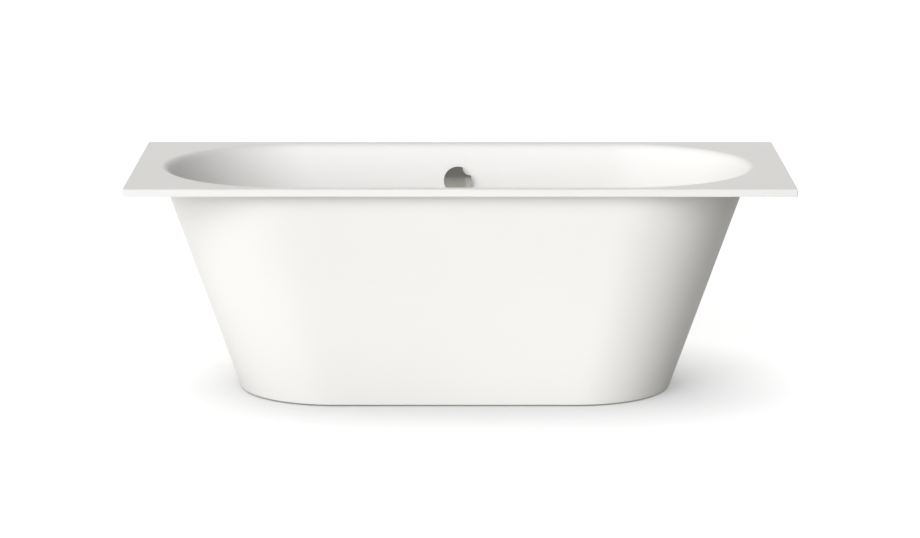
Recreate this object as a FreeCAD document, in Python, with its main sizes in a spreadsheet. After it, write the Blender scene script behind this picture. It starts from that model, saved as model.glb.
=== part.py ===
import FreeCAD, Part
import math
import os
from types import SimpleNamespace

import Sketcher

# Driving dimensions of the built-in bathtub, in millimetres.
# Origin on the floor under the middle of the deck, +X right, +Y to the wall, +Z up.
SIZES = [
    ("rim_length", "1700", "deck, end to end"),
    ("rim_width", "750", "deck, front to back"),
    ("rim_height", "590", "floor to deck"),
    ("rim_edge", "19", "depth of the turned-down deck edge"),
    ("rim_corner", "3", "plan radius of the deck corners"),
    ("rim_round", "2", "rounding of the upper deck edge"),
    ("lip_round", "1", "rounding of the lower deck edge"),
    ("shell_wall", "5", "acrylic shell thickness"),
    ("bowl_centre_x", "-6", "middle of the bowl"),
    ("deck_end", "90", "deck from its end edge to the bowl mouth, before the mouth is rounded"),
    ("deck_side", "44", "deck from its front or rear edge to the bowl mouth, before the mouth is rounded"),
    ("opening_round", "24", "rounding from deck into bowl"),
    ("end_run", "211", "sloping end wall of the bowl, level run from mouth to floor"),
    ("side_run", "110", "sloping front or rear wall of the bowl, level run from mouth to floor"),
    ("floor_round", "110", "rounding from bowl wall into floor"),
    ("bowl_floor", "150", "bowl floor above the room floor"),
    ("skirt_wall", "4", "plan thickness of the skirt"),
    ("skirt_flange", "4", "flange that closes the deck edge from below"),
    ("skirt_shift_x", "7", "skirt sits this much further left than the bowl"),
    ("skirt_gap", "1.6", "skirt to bowl under the deck"),
    ("skirt_end_run", "201", "skirt end, level run from the deck to the floor"),
    ("skirt_side_run", "82", "skirt front or rear, level run from the deck to the floor"),
    ("floor_gap", "4", "shadow gap under the skirt"),
    ("flange_gap", "0.5", "flange and boards to the deck edge"),
    ("service_width", "300", "service opening in the rear of the skirt"),
    ("service_round", "40", "corner radius of the service opening"),
    ("service_above", "52", "service opening above the overflow"),
    ("service_below", "34", "service opening below the waste outlet"),
    ("board_start", "120", "end boards start this far past the straight sides"),
    ("board_screw_inset", "30", "screws in from the deck edge"),
    ("wood_screw_radius", "2.2", "screw shank"),
    ("wood_screw_head", "4.4", "screw head radius"),
    ("wood_screw_head_depth", "2", "screw head"),
    ("wood_screw_drive", "1.6", "radius of the drive recess"),
    ("wood_screw_drive_depth", "1.2", "drive recess"),
    ("wood_screw_bite", "7", "screw in the wood"),
    ("screw_gap", "0.2", "screw head in its seat"),
    ("base_end_inset", "79", "board under the bowl floor, in from the end of the floor"),
    ("base_side_inset", "96", "board under the bowl floor, in from the side of the floor"),
    ("base_thickness", "12", "board under the bowl floor"),
    ("base_hole", "56", "radius of the hole round the waste"),
    ("rail_inset", "140", "rail in from the end of that board"),
    ("rail_end_gap", "15", "rail end in from the foot of the skirt"),
    ("rail_width", "40", "rail"),
    ("rail_height", "30", "rail"),
    ("rail_wall", "2.5", "rail sheet"),
    ("rail_screw_inset", "45", "rail screw in from the side of the board"),
    ("rail_screw_offset", "9", "screws either side of the rail middle"),
    ("foot_inset", "35", "foot in from the rail end"),
    ("stem_radius", "6", "foot stem"),
    ("stem_gap", "0.3", "stem in its nuts and rail hole"),
    ("stem_foot", "6", "stem end above the floor"),
    ("stem_rise", "17", "stem above the rail"),
    ("stem_collar", "17", "spanner collar across flats"),
    ("stem_collar_foot", "20", "collar above the floor"),
    ("stem_collar_height", "8", "collar"),
    ("pad_radius", "28", "foot pad"),
    ("pad_rim", "5", "pad edge height"),
    ("pad_neck", "12", "pad neck radius"),
    ("pad_height", "16", "pad"),
    ("nut_flats", "19", "nuts across flats"),
    ("rail_nut_height", "10", "nut welded in the rail"),
    ("lock_nut_height", "7", "nut under it"),
    ("drain_recess", "4", "seat sunk into the bowl floor"),
    ("drain_recess_radius", "38", "seat"),
    ("drain_hole", "27", "hole in the bowl floor"),
    ("drain_boss", "48", "thickened ring under the seat"),
    ("upper_gasket", "1", "gasket under the waste flange"),
    ("lower_gasket", "4", "gasket over the waste body"),
    ("lower_gasket_radius", "42", "gasket over the waste body"),
    ("gasket_bore", "27.5", "gaskets"),
    ("flange_radius", "36.5", "waste flange"),
    ("flange_lip", "3", "waste flange"),
    ("flange_dip", "0.6", "waste flange falls inward by this"),
    ("plug_seat", "27.5", "radius where the plug seat begins"),
    ("plug_seat_depth", "4", "plug seat"),
    ("tail_radius", "25", "threaded tail of waste and overflow flange"),
    ("tail_bore", "22", "tail"),
    ("tail_length", "30", "tail of the waste flange"),
    ("spoke_width", "4", "spokes that carry the guide hub"),
    ("hub_height", "6", "guide hub"),
    ("hub_radius", "8", "guide hub"),
    ("shaft_radius", "4", "plug stem and knob spindle"),
    ("shaft_gap", "0.3", "shaft in its guide hub"),
    ("collar_radius", "44", "waste body collar"),
    ("collar_depth", "6", "waste body collar"),
    ("crown_depth", "12", "threaded crown of the waste body"),
    ("chamber_radius", "40", "waste body"),
    ("chamber_wall", "4", "waste body"),
    ("chamber_depth", "50", "waste body below its top face"),
    ("dip_radius", "19", "dip tube"),
    ("dip_wall", "2.5", "dip tube"),
    ("dip_length", "66", "dip tube below the waste body"),
    ("inlet_drop", "25", "overflow inlet below the body top"),
    ("inlet_reach", "78", "overflow inlet from the waste axis"),
    ("inlet_seat", "64", "overflow pipe starts here"),
    ("socket_radius", "16.5", "pipe sockets"),
    ("pipe_radius", "14", "overflow pipe"),
    ("pipe_wall", "2", "overflow pipe"),
    ("pipe_bend", "70", "bend of pipe and cable, at the centreline"),
    ("union_radius", "19.5", "union nuts of the overflow pipe"),
    ("union_length", "18", "union nut"),
    ("union_cover", "8", "union nut past the socket end"),
    ("cable_radius", "2.5", "sheathed cable"),
    ("cable_side", "22.5", "cable to pipe, sideways"),
    ("gland_radius", "5", "cable glands"),
    ("gland_reach", "48", "lower gland from the waste axis"),
    ("gland_seat", "38", "cable starts here"),
    ("lever_pivot_y", "20", "lever shaft in front of the waste axis"),
    ("lever_gap", "0.5", "lever to plug stem at rest"),
    ("lever_shaft", "2.5", "lever shaft radius"),
    ("lever_shaft_half", "32.5", "half the lever shaft"),
    ("lever_width", "8", "lifting arm"),
    ("lever_tip", "5", "lifting arm past the plug stem"),
    ("crank_width", "3", "arm moved by the cable"),
    ("crank_rise", "8.5", "arm moved by the cable"),
    ("plug_radius", "32", "plug cap"),
    ("plug_gap", "1", "plug cap over the waste flange"),
    ("plug_edge", "2.5", "plug cap edge"),
    ("plug_dome", "4", "plug cap rises by this"),
    ("plug_boss", "18", "boss inside the plug seal"),
    ("plug_seal_radius", "24.3", "plug seal"),
    ("plug_seal_height", "3.5", "plug seal"),
    ("stem_length", "48.5", "plug stem under the cap"),
    ("trap_radius", "40", "trap cup"),
    ("trap_wall", "3.5", "trap cup"),
    ("trap_floor", "12", "trap cup above the floor"),
    ("trap_base", "3", "trap cup bottom"),
    ("trap_bevel", "6", "trap cup bottom edge"),
    ("trap_collar", "44", "trap cup collar"),
    ("trap_collar_height", "17", "trap cup collar"),
    ("trap_overlap", "7", "trap cup over the waste body"),
    ("trap_seal", "3", "seal under the waste body"),
    ("outlet_height", "60", "waste outlet above the floor"),
    ("outlet_stub", "23", "threaded stub of the trap cup"),
    ("outlet_seat", "46", "outlet pipe starts here"),
    ("outlet_stub_reach", "66", "stub from the waste axis"),
    ("outlet_pipe_radius", "19.5", "outlet pipe"),
    ("outlet_bore", "17.5", "outlet pipe"),
    ("outlet_seal", "4", "seal at the stub end"),
    ("outlet_nut_radius", "27.5", "outlet nut"),
    ("outlet_nut_length", "22", "outlet nut"),
    ("outlet_nut_lip", "5", "outlet nut past its seal"),
    ("spigot_radius", "20", "free end of the outlet pipe"),
    ("spigot_length", "50", "free end of the outlet pipe"),
    ("outlet_setback", "45", "end of the outlet pipe in from the rear deck edge"),
    ("overflow_drop", "97", "overflow below the deck"),
    ("overflow_hole", "27", "hole in the bowl wall"),
    ("overflow_gasket", "3", "gasket behind the wall"),
    ("overflow_gasket_radius", "40", "gasket"),
    ("overflow_collar", "42", "overflow body collar"),
    ("overflow_collar_depth", "4", "overflow body collar"),
    ("overflow_thread", "5", "threaded crown of the overflow body"),
    ("overflow_radius", "34", "overflow body"),
    ("overflow_wall", "3", "overflow body"),
    ("overflow_depth", "36", "overflow body behind its gasket"),
    ("overflow_axis", "26", "pipe and cable behind the bowl wall"),
    ("overflow_socket_end", "62", "overflow socket below the overflow"),
    ("overflow_pipe_seat", "48", "overflow pipe starts here"),
    ("overflow_gland_end", "46", "upper gland below the overflow"),
    ("overflow_cable_seat", "36", "cable starts here"),
    ("face_radius", "35", "overflow flange in the bowl"),
    ("face_depth", "3", "overflow flange in the bowl"),
    ("face_tail", "18", "tail of the overflow flange"),
    ("spindle_depth", "34", "spindle behind the bowl wall"),
    ("drum_radius", "12", "cable drum on the spindle"),
    ("drum_width", "10", "cable drum"),
    ("knob_radius", "38", "knob"),
    ("knob_back", "10", "knob to bowl wall"),
    ("knob_edge", "11", "knob edge"),
    ("knob_bevel", "1.6", "rounding of the knob face"),
    ("knob_dome", "1.2", "knob face rises by this"),
    ("knob_boss", "9", "boss behind the knob"),
    ("knob_boss_depth", "3", "boss behind the knob"),
    ("knob_socket", "6", "spindle inside the knob"),
    ("notch_radius", "18", "finger notch"),
    ("notch_reach", "46", "finger notch from the knob axis"),
    ("clip_width", "8", "cable clip"),
    ("clip_wall", "2.5", "cable clip"),
    ("overrun", "20", "cuts run past the material by this"),
    ("tolerance", "0.001", "closeness when edges are looked up"),
]

doc = FreeCAD.newDocument("Bathtub")
sheet = doc.addObject("Spreadsheet::Sheet", "Sizes")
for row, (alias, amount, note) in enumerate(SIZES, 1):
    sheet.set(f"A{row}", alias)
    sheet.set(f"B{row}", amount)
    sheet.set(f"C{row}", note)
    sheet.setAlias(f"B{row}", alias)
doc.recompute()


class Size:
    """A number together with the sheet expression that drives it."""

    def __init__(self, number, text):
        self.number = number
        self.text = text

    def __add__(self, other):
        return Size(self.number + other.number, f"({self.text} + {other.text})")

    def __sub__(self, other):
        return Size(self.number - other.number, f"({self.text} - {other.text})")

    def __neg__(self):
        return Size(-self.number, f"(-{self.text})")

    def __mul__(self, other):
        if isinstance(other, Size):
            return Size(self.number * other.number, f"({self.text} * {other.text})")
        return Size(self.number * other, f"({self.text} * {other})")

    def __truediv__(self, other):
        if isinstance(other, Size):
            return Size(self.number / other.number, f"({self.text} / {other.text})")
        return Size(self.number / other, f"({self.text} / {other})")


ZERO = Size(0, "0")
ONE = Size(1, "1")
d = SimpleNamespace(**{alias: Size(float(sheet.get(alias)), f"Sizes.{alias}") for alias, amount, note in SIZES})
nodes = []


def root(size):
    return Size(math.sqrt(size.number), f"sqrt({size.text})")


def new_body(label, x=ZERO, y=ZERO, z=ZERO, several=False):
    """A named sub-part, moved to its place; several allows a group of equal pieces."""
    made = doc.addObject("PartDesign::Body", label)
    made.Label = label
    made.AllowCompound = several
    for axis, shift in (("x", x), ("y", y), ("z", z)):
        made.setExpression(f"Placement.Base.{axis}", shift.text)
    nodes.append(made)
    return made


def drawing(body, name, role="XY_Plane", lift=ZERO):
    """An empty sketch on one of the body's own planes, lifted along its normal."""
    made = body.newObject("Sketcher::SketchObject", f"{body.Name}_{name}")
    plane = [item for item in body.Origin.OriginFeatures if item.Role == role][0]
    made.AttachmentSupport = [(plane, "")]
    made.MapMode = "FlatFace"
    made.setExpression("AttachmentOffset.Base.z", lift.text)
    return made


def limit(sketch, kind, places, size):
    index = sketch.addConstraint(Sketcher.Constraint(kind, *places, size.number))
    sketch.setExpression(f"Constraints[{index}]", size.text)


def pin(sketch, geometry, place, x, y):
    for size, kind, axis in ((x, "DistanceX", -2), (y, "DistanceY", -1)):
        if size.text == ZERO.text:
            sketch.addConstraint(Sketcher.Constraint("PointOnObject", geometry, place, axis))
        else:
            limit(sketch, kind, (-1, 1, geometry, place), size)


def polygon(sketch, points):
    first = sketch.GeometryCount
    corners = [FreeCAD.Vector(x.number, y.number, 0) for x, y in points]
    count = len(points)
    for index in range(count):
        sketch.addGeometry(Part.LineSegment(corners[index], corners[(index + 1) % count]), False)
    for index in range(count):
        joint = Sketcher.Constraint("Coincident", first + index, 2, first + (index + 1) % count, 1)
        sketch.addConstraint(joint)
    for index, (x, y) in enumerate(points):
        pin(sketch, first + index, 1, x, y)
    return sketch


def rectangle(sketch, left, right, low, high):
    return polygon(sketch, [(left, low), (right, low), (right, high), (left, high)])


def hexagon(sketch, x, y, flats):
    reach = flats / math.sqrt(3)
    half = flats / 2
    corners = [(x + reach, y), (x + reach / 2, y + half), (x - reach / 2, y + half)]
    corners += [(x - reach, y), (x - reach / 2, y - half), (x + reach / 2, y - half)]
    return polygon(sketch, corners)


def circle(sketch, radius, x=ZERO, y=ZERO):
    middle = FreeCAD.Vector(x.number, y.number, 0)
    index = sketch.addGeometry(Part.Circle(middle, FreeCAD.Vector(0, 0, 1), radius.number), False)
    limit(sketch, "Radius", (index,), radius)
    pin(sketch, index, 3, x, y)
    return sketch


def stadium(sketch, x, half_length, radius):
    """Two straight sides joined by two half circles."""
    right = x + half_length - radius
    left = x - half_length + radius
    up = FreeCAD.Vector(0, 0, 1)
    quarter = math.pi / 2
    side = radius.number
    first = FreeCAD.Vector(left.number, -side, 0)
    second = FreeCAD.Vector(right.number, -side, 0)
    third = FreeCAD.Vector(right.number, side, 0)
    fourth = FreeCAD.Vector(left.number, side, 0)
    right_ring = Part.Circle(FreeCAD.Vector(right.number, 0, 0), up, side)
    left_ring = Part.Circle(FreeCAD.Vector(left.number, 0, 0), up, side)
    sketch.addGeometry(Part.LineSegment(first, second), False)
    sketch.addGeometry(Part.ArcOfCircle(right_ring, -quarter, quarter), False)
    sketch.addGeometry(Part.LineSegment(third, fourth), False)
    sketch.addGeometry(Part.ArcOfCircle(left_ring, quarter, 3 * quarter), False)
    for index in range(4):
        sketch.addConstraint(Sketcher.Constraint("Tangent", index, 2, (index + 1) % 4, 1))
    sketch.addConstraint(Sketcher.Constraint("Equal", 1, 3))
    limit(sketch, "Radius", (1,), radius)
    pin(sketch, 1, 3, right, ZERO)
    pin(sketch, 3, 3, left, ZERO)
    return sketch


def rounded_rectangle(sketch, left, right, low, high, radius):
    """Four straight sides joined by four quarter circles."""
    up = FreeCAD.Vector(0, 0, 1)
    quarter = math.pi / 2
    centres = [(right - radius, low + radius), (right - radius, high - radius),
               (left + radius, high - radius), (left + radius, low + radius)]
    arcs = []
    for index, (x, y) in enumerate(centres):
        whole = Part.Circle(FreeCAD.Vector(x.number, y.number, 0), up, radius.number)
        arcs.append(Part.ArcOfCircle(whole, (index - 1) * quarter, index * quarter))
    for index, arc in enumerate(arcs):
        following = arcs[(index + 1) % 4]
        sketch.addGeometry(arc, False)
        sketch.addGeometry(Part.LineSegment(arc.EndPoint, following.StartPoint), False)
    for index in range(8):
        sketch.addConstraint(Sketcher.Constraint("Tangent", index, 2, (index + 1) % 8, 1))
    for index, (x, y) in enumerate(centres):
        pin(sketch, index * 2, 3, x, y)
        limit(sketch, "Radius", (index * 2,), radius)
    return sketch


def pad(body, sketch, length, reverse=False):
    made = body.newObject("PartDesign::Pad", f"{sketch.Name}_pad")
    made.Profile = sketch
    made.Reversed = reverse
    made.setExpression("Length", length.text)
    return made


def pocket(body, sketch, length, reverse=False):
    made = body.newObject("PartDesign::Pocket", f"{sketch.Name}_pocket")
    made.Profile = sketch
    made.Reversed = reverse
    made.setExpression("Length", length.text)
    return made


def loft(body, kind, lower, upper):
    made = body.newObject(f"PartDesign::{kind}Loft", f"{lower.Name}_loft")
    made.Profile = lower
    made.Sections = [upper]
    made.Ruled = True
    return made


def turn(body, points, kind="Revolution"):
    """Turns a profile of (radius, height) points about the body's Z axis."""
    sketch = polygon(drawing(body, "profile", "XZ_Plane"), points)
    made = body.newObject(f"PartDesign::{kind}", f"{body.Name}_turned")
    made.Profile = sketch
    made.ReferenceAxis = (sketch, ["V_Axis"])
    return made


def ring(label, inner, outer, low, high, **place):
    body = new_body(label, **place)
    turn(body, [(inner, low), (outer, low), (outer, high), (inner, high)])
    return body


def round_off(body, picked, radius):
    """Rounds every edge of the body's latest shape that the picking rule accepts."""
    doc.recompute()
    base = body.Tip
    names = [f"Edge{index}" for index, edge in enumerate(base.Shape.Edges, 1) if picked(edge)]
    made = body.newObject("PartDesign::Fillet", f"{body.Name}_round")
    made.Base = (base, names)
    made.setExpression("Radius", radius.text)
    doc.recompute()


def level(edge, height):
    box = edge.BoundBox
    near = d.tolerance.number
    return abs(box.ZMin - height.number) < near and abs(box.ZMax - height.number) < near


def inside(edge, half_length, half_width):
    box = edge.BoundBox
    near = d.tolerance.number
    across = max(abs(box.YMin), abs(box.YMax)) < half_width.number - near
    return across and max(abs(box.XMin), abs(box.XMax)) < half_length.number - near


# Heights and slopes shared by the shell, the skirt and everything below them.
half_rim_length = d.rim_length / 2
half_rim_width = d.rim_width / 2
lip_height = d.rim_height - d.rim_edge
deck_under = d.rim_height - d.shell_wall
floor_height = d.bowl_floor
bowl_depth = d.rim_height - d.bowl_floor
opening_length = d.rim_length - d.deck_end * 2
opening_width = d.rim_width - d.deck_side * 2
floor_length = opening_length - d.end_run * 2
floor_width = opening_width - d.side_run * 2
shell_under = floor_height - d.shell_wall
end_slope = d.end_run / bowl_depth
side_slope = d.side_run / bowl_depth
end_wall = d.shell_wall * root(ONE + end_slope * end_slope)
side_wall = d.shell_wall * root(ONE + side_slope * side_slope)
lip_inner_length = half_rim_length - d.shell_wall
lip_inner_width = half_rim_width - d.shell_wall
waste_x = d.bowl_centre_x
seat_height = floor_height - d.drain_recess
boss_under = seat_height - d.shell_wall

# The overflow sits square to the sloping rear wall of the bowl.
lean = root(ONE + side_slope * side_slope)
lean_cos = ONE / lean
lean_sin = side_slope / lean
overflow_y = opening_width / 2 - side_slope * d.overflow_drop
overflow_z = d.rim_height - d.overflow_drop


def seat_at_overflow(body):
    """Body Z points square out of the rear wall into the bowl, body Y up along the wall."""
    body.Placement = FreeCAD.Placement(FreeCAD.Vector(), FreeCAD.Rotation(FreeCAD.Vector(1, 0, 0), 90))
    body.setExpression("Placement.Base.x", waste_x.text)
    body.setExpression("Placement.Base.y", overflow_y.text)
    body.setExpression("Placement.Base.z", overflow_z.text)
    body.setExpression("Placement.Rotation.Angle", f"90 deg - atan({side_slope.text})")
    return body


def seat_along_y(body, height):
    """Body Z points to the wall, along a horizontal axis through the waste."""
    body.Placement = FreeCAD.Placement(FreeCAD.Vector(), FreeCAD.Rotation(FreeCAD.Vector(1, 0, 0), -90))
    body.setExpression("Placement.Base.x", waste_x.text)
    body.setExpression("Placement.Base.z", height.text)
    return body


# Shell: deck with a turned-down edge, bowl with sloping walls and a rounded floor.
# The floor carries the sunk waste seat and the rear wall the overflow hole.
shell = new_body("tub_shell")
outline = rectangle(drawing(shell, "deck", lift=lip_height),
                    -half_rim_length, half_rim_length, -half_rim_width, half_rim_width)
pad(shell, outline, d.rim_edge)
round_off(shell, lambda edge: edge.BoundBox.ZLength > d.rim_edge.number / 2, d.rim_corner)
hollow = rectangle(drawing(shell, "hollow", lift=lip_height),
                   -lip_inner_length, lip_inner_length, -lip_inner_width, lip_inner_width)
pocket(shell, hollow, d.rim_edge - d.shell_wall, reverse=True)
outer_top = stadium(drawing(shell, "outer_top", lift=d.rim_height), d.bowl_centre_x,
                    opening_length / 2 + end_wall, opening_width / 2 + side_wall)
outer_low = stadium(drawing(shell, "outer_low", lift=shell_under), d.bowl_centre_x,
                    floor_length / 2 + end_wall - d.shell_wall * end_slope,
                    floor_width / 2 + side_wall - d.shell_wall * side_slope)
loft(shell, "Additive", outer_top, outer_low)
inner_top = stadium(drawing(shell, "inner_top", lift=d.rim_height), d.bowl_centre_x,
                    opening_length / 2, opening_width / 2)
inner_low = stadium(drawing(shell, "inner_low", lift=floor_height), d.bowl_centre_x,
                    floor_length / 2, floor_width / 2)
loft(shell, "Subtractive", inner_top, inner_low)
round_off(shell, lambda edge: level(edge, floor_height), d.floor_round)
round_off(shell, lambda edge: level(edge, shell_under), d.floor_round + d.shell_wall)
round_off(shell, lambda edge: level(edge, deck_under) and inside(edge, lip_inner_length, lip_inner_width),
          d.opening_round - d.shell_wall)
round_off(shell, lambda edge: level(edge, d.rim_height) and inside(edge, half_rim_length, half_rim_width),
          d.opening_round)
round_off(shell, lambda edge: level(edge, d.rim_height)
          and not inside(edge, half_rim_length - d.rim_corner, half_rim_width - d.rim_corner), d.rim_round)
round_off(shell, lambda edge: level(edge, lip_height)
          and not inside(edge, half_rim_length - d.rim_corner, half_rim_width - d.rim_corner), d.lip_round)
boss = circle(drawing(shell, "boss", lift=boss_under), d.drain_boss, waste_x)
pad(shell, boss, shell_under - boss_under)
recess = circle(drawing(shell, "recess", lift=floor_height), d.drain_recess_radius, waste_x)
pocket(shell, recess, d.drain_recess)
drain = circle(drawing(shell, "drain", lift=floor_height), d.drain_hole, waste_x)
pocket(shell, drain, d.drain_recess + d.shell_wall + d.overrun)
hole = shell.newObject("PartDesign::SubtractiveCylinder", "tub_shell_overflow_hole")
hole.Placement = FreeCAD.Placement(FreeCAD.Vector(), FreeCAD.Rotation(FreeCAD.Vector(1, 0, 0), 90))
hole.setExpression("Radius", d.overflow_hole.text)
hole.setExpression("Height", (d.overrun * 2).text)
hole.setExpression("Placement.Base.x", waste_x.text)
hole.setExpression("Placement.Base.y", (overflow_y + d.overrun * lean_cos).text)
hole.setExpression("Placement.Base.z", (overflow_z - d.overrun * lean_sin).text)
hole.setExpression("Placement.Rotation.Angle", f"90 deg - atan({side_slope.text})")

# Skirt: one tapering wall round the bowl, with a flange that closes the deck edge from below.
# The service opening in its rear lets the overflow, the pipe and the outlet through.
skirt_x = d.bowl_centre_x - d.skirt_shift_x
skirt_top_length = (opening_length / 2 + end_wall - end_slope * d.rim_edge
                    + d.skirt_shift_x + d.skirt_gap + d.skirt_wall)
skirt_top_width = opening_width / 2 + side_wall - side_slope * d.rim_edge + d.skirt_gap + d.skirt_wall
skirt_base_length = skirt_top_length - d.skirt_end_run
skirt_base_width = skirt_top_width - d.skirt_side_run
skirt_rise = lip_height - d.floor_gap
crest_length = skirt_top_length + d.skirt_end_run / skirt_rise * d.skirt_flange
crest_width = skirt_top_width + d.skirt_side_run / skirt_rise * d.skirt_flange
flange_length = lip_inner_length - d.flange_gap
flange_width = lip_inner_width - d.flange_gap
board_foot = lip_height + d.skirt_flange
board_x = (opening_length - opening_width) / 2 + d.board_start
batten_inner = opening_width / 2 + side_wall - side_slope * d.shell_wall + d.opening_round - d.shell_wall
batten_screw_y = (batten_inner + flange_width) / 2
screw_x = lip_inner_length - d.board_screw_inset
screw_y = lip_inner_width - d.board_screw_inset
screw_places = [(screw_x, screw_y), (-screw_x, screw_y), (screw_x, -screw_y), (-screw_x, -screw_y)]
screw_places += [(screw_x, ZERO), (-screw_x, ZERO)]
batten_screw_shares = (-0.55, 0, 0.55)
for share in batten_screw_shares:
    along = d.bowl_centre_x + board_x * share
    screw_places += [(along, batten_screw_y), (along, -batten_screw_y)]

skirt = new_body("outer_skirt")
wall_low = stadium(drawing(skirt, "wall_low", lift=d.floor_gap), skirt_x,
                   skirt_base_length, skirt_base_width)
wall_top = stadium(drawing(skirt, "wall_top", lift=board_foot), skirt_x, crest_length, crest_width)
loft(skirt, "Additive", wall_low, wall_top)
flange = rectangle(drawing(skirt, "flange", lift=lip_height), -flange_length, flange_length,
                   -flange_width, flange_width)
pad(skirt, flange, d.skirt_flange)
room_low = stadium(drawing(skirt, "room_low", lift=d.floor_gap), skirt_x,
                   skirt_base_length - d.skirt_wall, skirt_base_width - d.skirt_wall)
room_top = stadium(drawing(skirt, "room_top", lift=board_foot), skirt_x,
                   crest_length - d.skirt_wall, crest_width - d.skirt_wall)
loft(skirt, "Subtractive", room_low, room_top)
window_low = d.outlet_height - d.service_below
window_top = overflow_z + d.service_above
window = rounded_rectangle(drawing(skirt, "window", "XZ_Plane"), waste_x - d.service_width / 2,
                           waste_x + d.service_width / 2, window_low, window_top, d.service_round)
pocket(skirt, window, half_rim_width)
sinks = drawing(skirt, "sinks", lift=lip_height)
shafts = drawing(skirt, "shafts", lift=lip_height)
for x, y in screw_places:
    circle(sinks, d.wood_screw_head + d.screw_gap, x, y)
    circle(shafts, d.wood_screw_radius, x, y)
pocket(skirt, sinks, d.wood_screw_head_depth, reverse=True)
pocket(skirt, shafts, d.skirt_flange, reverse=True)
# Boards in the hollow of the deck: one at each end and a batten along each side.
board_thickness = deck_under - board_foot
mouth_length = opening_length / 2 + end_wall - end_slope * d.shell_wall + d.opening_round - d.shell_wall
for label, side in (("deck_board_left", -1), ("deck_board_right", 1)):
    board = new_body(label)
    near = d.bowl_centre_x + board_x * side
    edges = [near, flange_length * side][::side]
    pad(board, rectangle(drawing(board, "outline", lift=board_foot), *edges, -flange_width, flange_width),
        board_thickness)
    mouth = stadium(drawing(board, "mouth", lift=board_foot), d.bowl_centre_x, mouth_length, batten_inner)
    pocket(board, mouth, board_thickness, reverse=True)
    pilots = drawing(board, "pilots", lift=board_foot)
    for x, y in screw_places:
        if x.number * side > board_x.number:
            circle(pilots, d.wood_screw_radius, x, y)
    pocket(board, pilots, d.wood_screw_bite, reverse=True)
for label, side in (("deck_batten_front", -1), ("deck_batten_rear", 1)):
    batten = new_body(label)
    edges = [batten_inner * side, flange_width * side][::side]
    pad(batten, rectangle(drawing(batten, "outline", lift=board_foot), d.bowl_centre_x - board_x,
                          d.bowl_centre_x + board_x, *edges), board_thickness)
    pilots = drawing(batten, "pilots", lift=board_foot)
    for x, y in screw_places:
        if abs(x.number) < board_x.number and y.number * side > 0:
            circle(pilots, d.wood_screw_radius, x, y)
    pocket(batten, pilots, d.wood_screw_bite, reverse=True)


def wood_screws(label, places, head_under, bite):
    """A group of equal wood screws that point up, heads from the given height."""
    group = new_body(label, several=True)
    heads = drawing(group, "heads", lift=head_under)
    shanks = drawing(group, "shanks", lift=head_under)
    drives = drawing(group, "drives", lift=head_under)
    for x, y in places:
        circle(heads, d.wood_screw_head, x, y)
        circle(shanks, d.wood_screw_radius, x, y)
        circle(drives, d.wood_screw_drive, x, y)
    pad(group, heads, d.wood_screw_head_depth)
    pad(group, shanks, bite)
    pocket(group, drives, d.wood_screw_drive_depth, reverse=True)


wood_screws("skirt_screws", screw_places, lip_height, d.skirt_flange + d.wood_screw_bite)

# Board bonded under the bowl floor, two channel rails screwed across it.
base_foot = shell_under - d.base_thickness
rail_foot = base_foot - d.rail_height
rail_web = base_foot - d.rail_wall
base_length = floor_length / 2 - d.base_end_inset
base_width = floor_width / 2 - d.base_side_inset
rail_length = skirt_base_width - d.rail_end_gap
foot_y = rail_length - d.foot_inset
rail_screw_y = base_width - d.rail_screw_inset
base = new_body("base_board")
pad(base, stadium(drawing(base, "outline", lift=base_foot), d.bowl_centre_x, base_length, base_width),
    d.base_thickness)
pocket(base, circle(drawing(base, "waste_hole", lift=base_foot), d.base_hole, waste_x),
       d.base_thickness, reverse=True)
rail_x = base_length - d.rail_inset
rail_places = {"left": d.bowl_centre_x - rail_x, "right": d.bowl_centre_x + rail_x}
rail_screw_places = []
foot_places = {}
for side, x in rail_places.items():
    for along in (-rail_screw_y, rail_screw_y):
        rail_screw_places.append((x - d.rail_screw_offset, along))
        rail_screw_places.append((x + d.rail_screw_offset, along))
    foot_places[f"front_{side}"] = (x, -foot_y)
    foot_places[f"rear_{side}"] = (x, foot_y)
pilots = drawing(base, "pilots", lift=base_foot)
for x, y in rail_screw_places:
    circle(pilots, d.wood_screw_radius, x, y)
pocket(base, pilots, d.wood_screw_bite, reverse=True)

for side, x in rail_places.items():
    rail = new_body(f"cross_rail_{side}")
    left = x - d.rail_width / 2
    right = x + d.rail_width / 2
    section = polygon(drawing(rail, "section", "XZ_Plane", lift=-rail_length), [
        (left, rail_foot), (left + d.rail_wall, rail_foot), (left + d.rail_wall, rail_web),
        (right - d.rail_wall, rail_web), (right - d.rail_wall, rail_foot), (right, rail_foot),
        (right, base_foot), (left, base_foot)])
    pad(rail, section, rail_length * 2)
    holes = drawing(rail, "holes", lift=rail_web)
    for hole_x, hole_y in rail_screw_places:
        if abs(hole_x.number - x.number) < d.rail_width.number:
            circle(holes, d.wood_screw_radius, hole_x, hole_y)
    for end in ("front", "rear"):
        circle(holes, d.stem_radius + d.stem_gap, *foot_places[f"{end}_{side}"])
    pocket(rail, holes, d.rail_wall, reverse=True)

wood_screws("rail_screws", rail_screw_places, rail_web - d.wood_screw_head_depth,
            d.wood_screw_head_depth + d.rail_wall + d.wood_screw_bite)


# Four levelling feet: a nut welded into the rail, a lock nut under it,
# a threaded stem with a spanner collar and a round pad on the floor.
def foot_nuts(label, low, height):
    group = new_body(label, several=True)
    outlines = drawing(group, "outlines", lift=low)
    bores = drawing(group, "bores", lift=low)
    for x, y in foot_places.values():
        hexagon(outlines, x, y, d.nut_flats)
        circle(bores, d.stem_radius + d.stem_gap, x, y)
    pad(group, outlines, height)
    pocket(group, bores, height, reverse=True)


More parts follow.
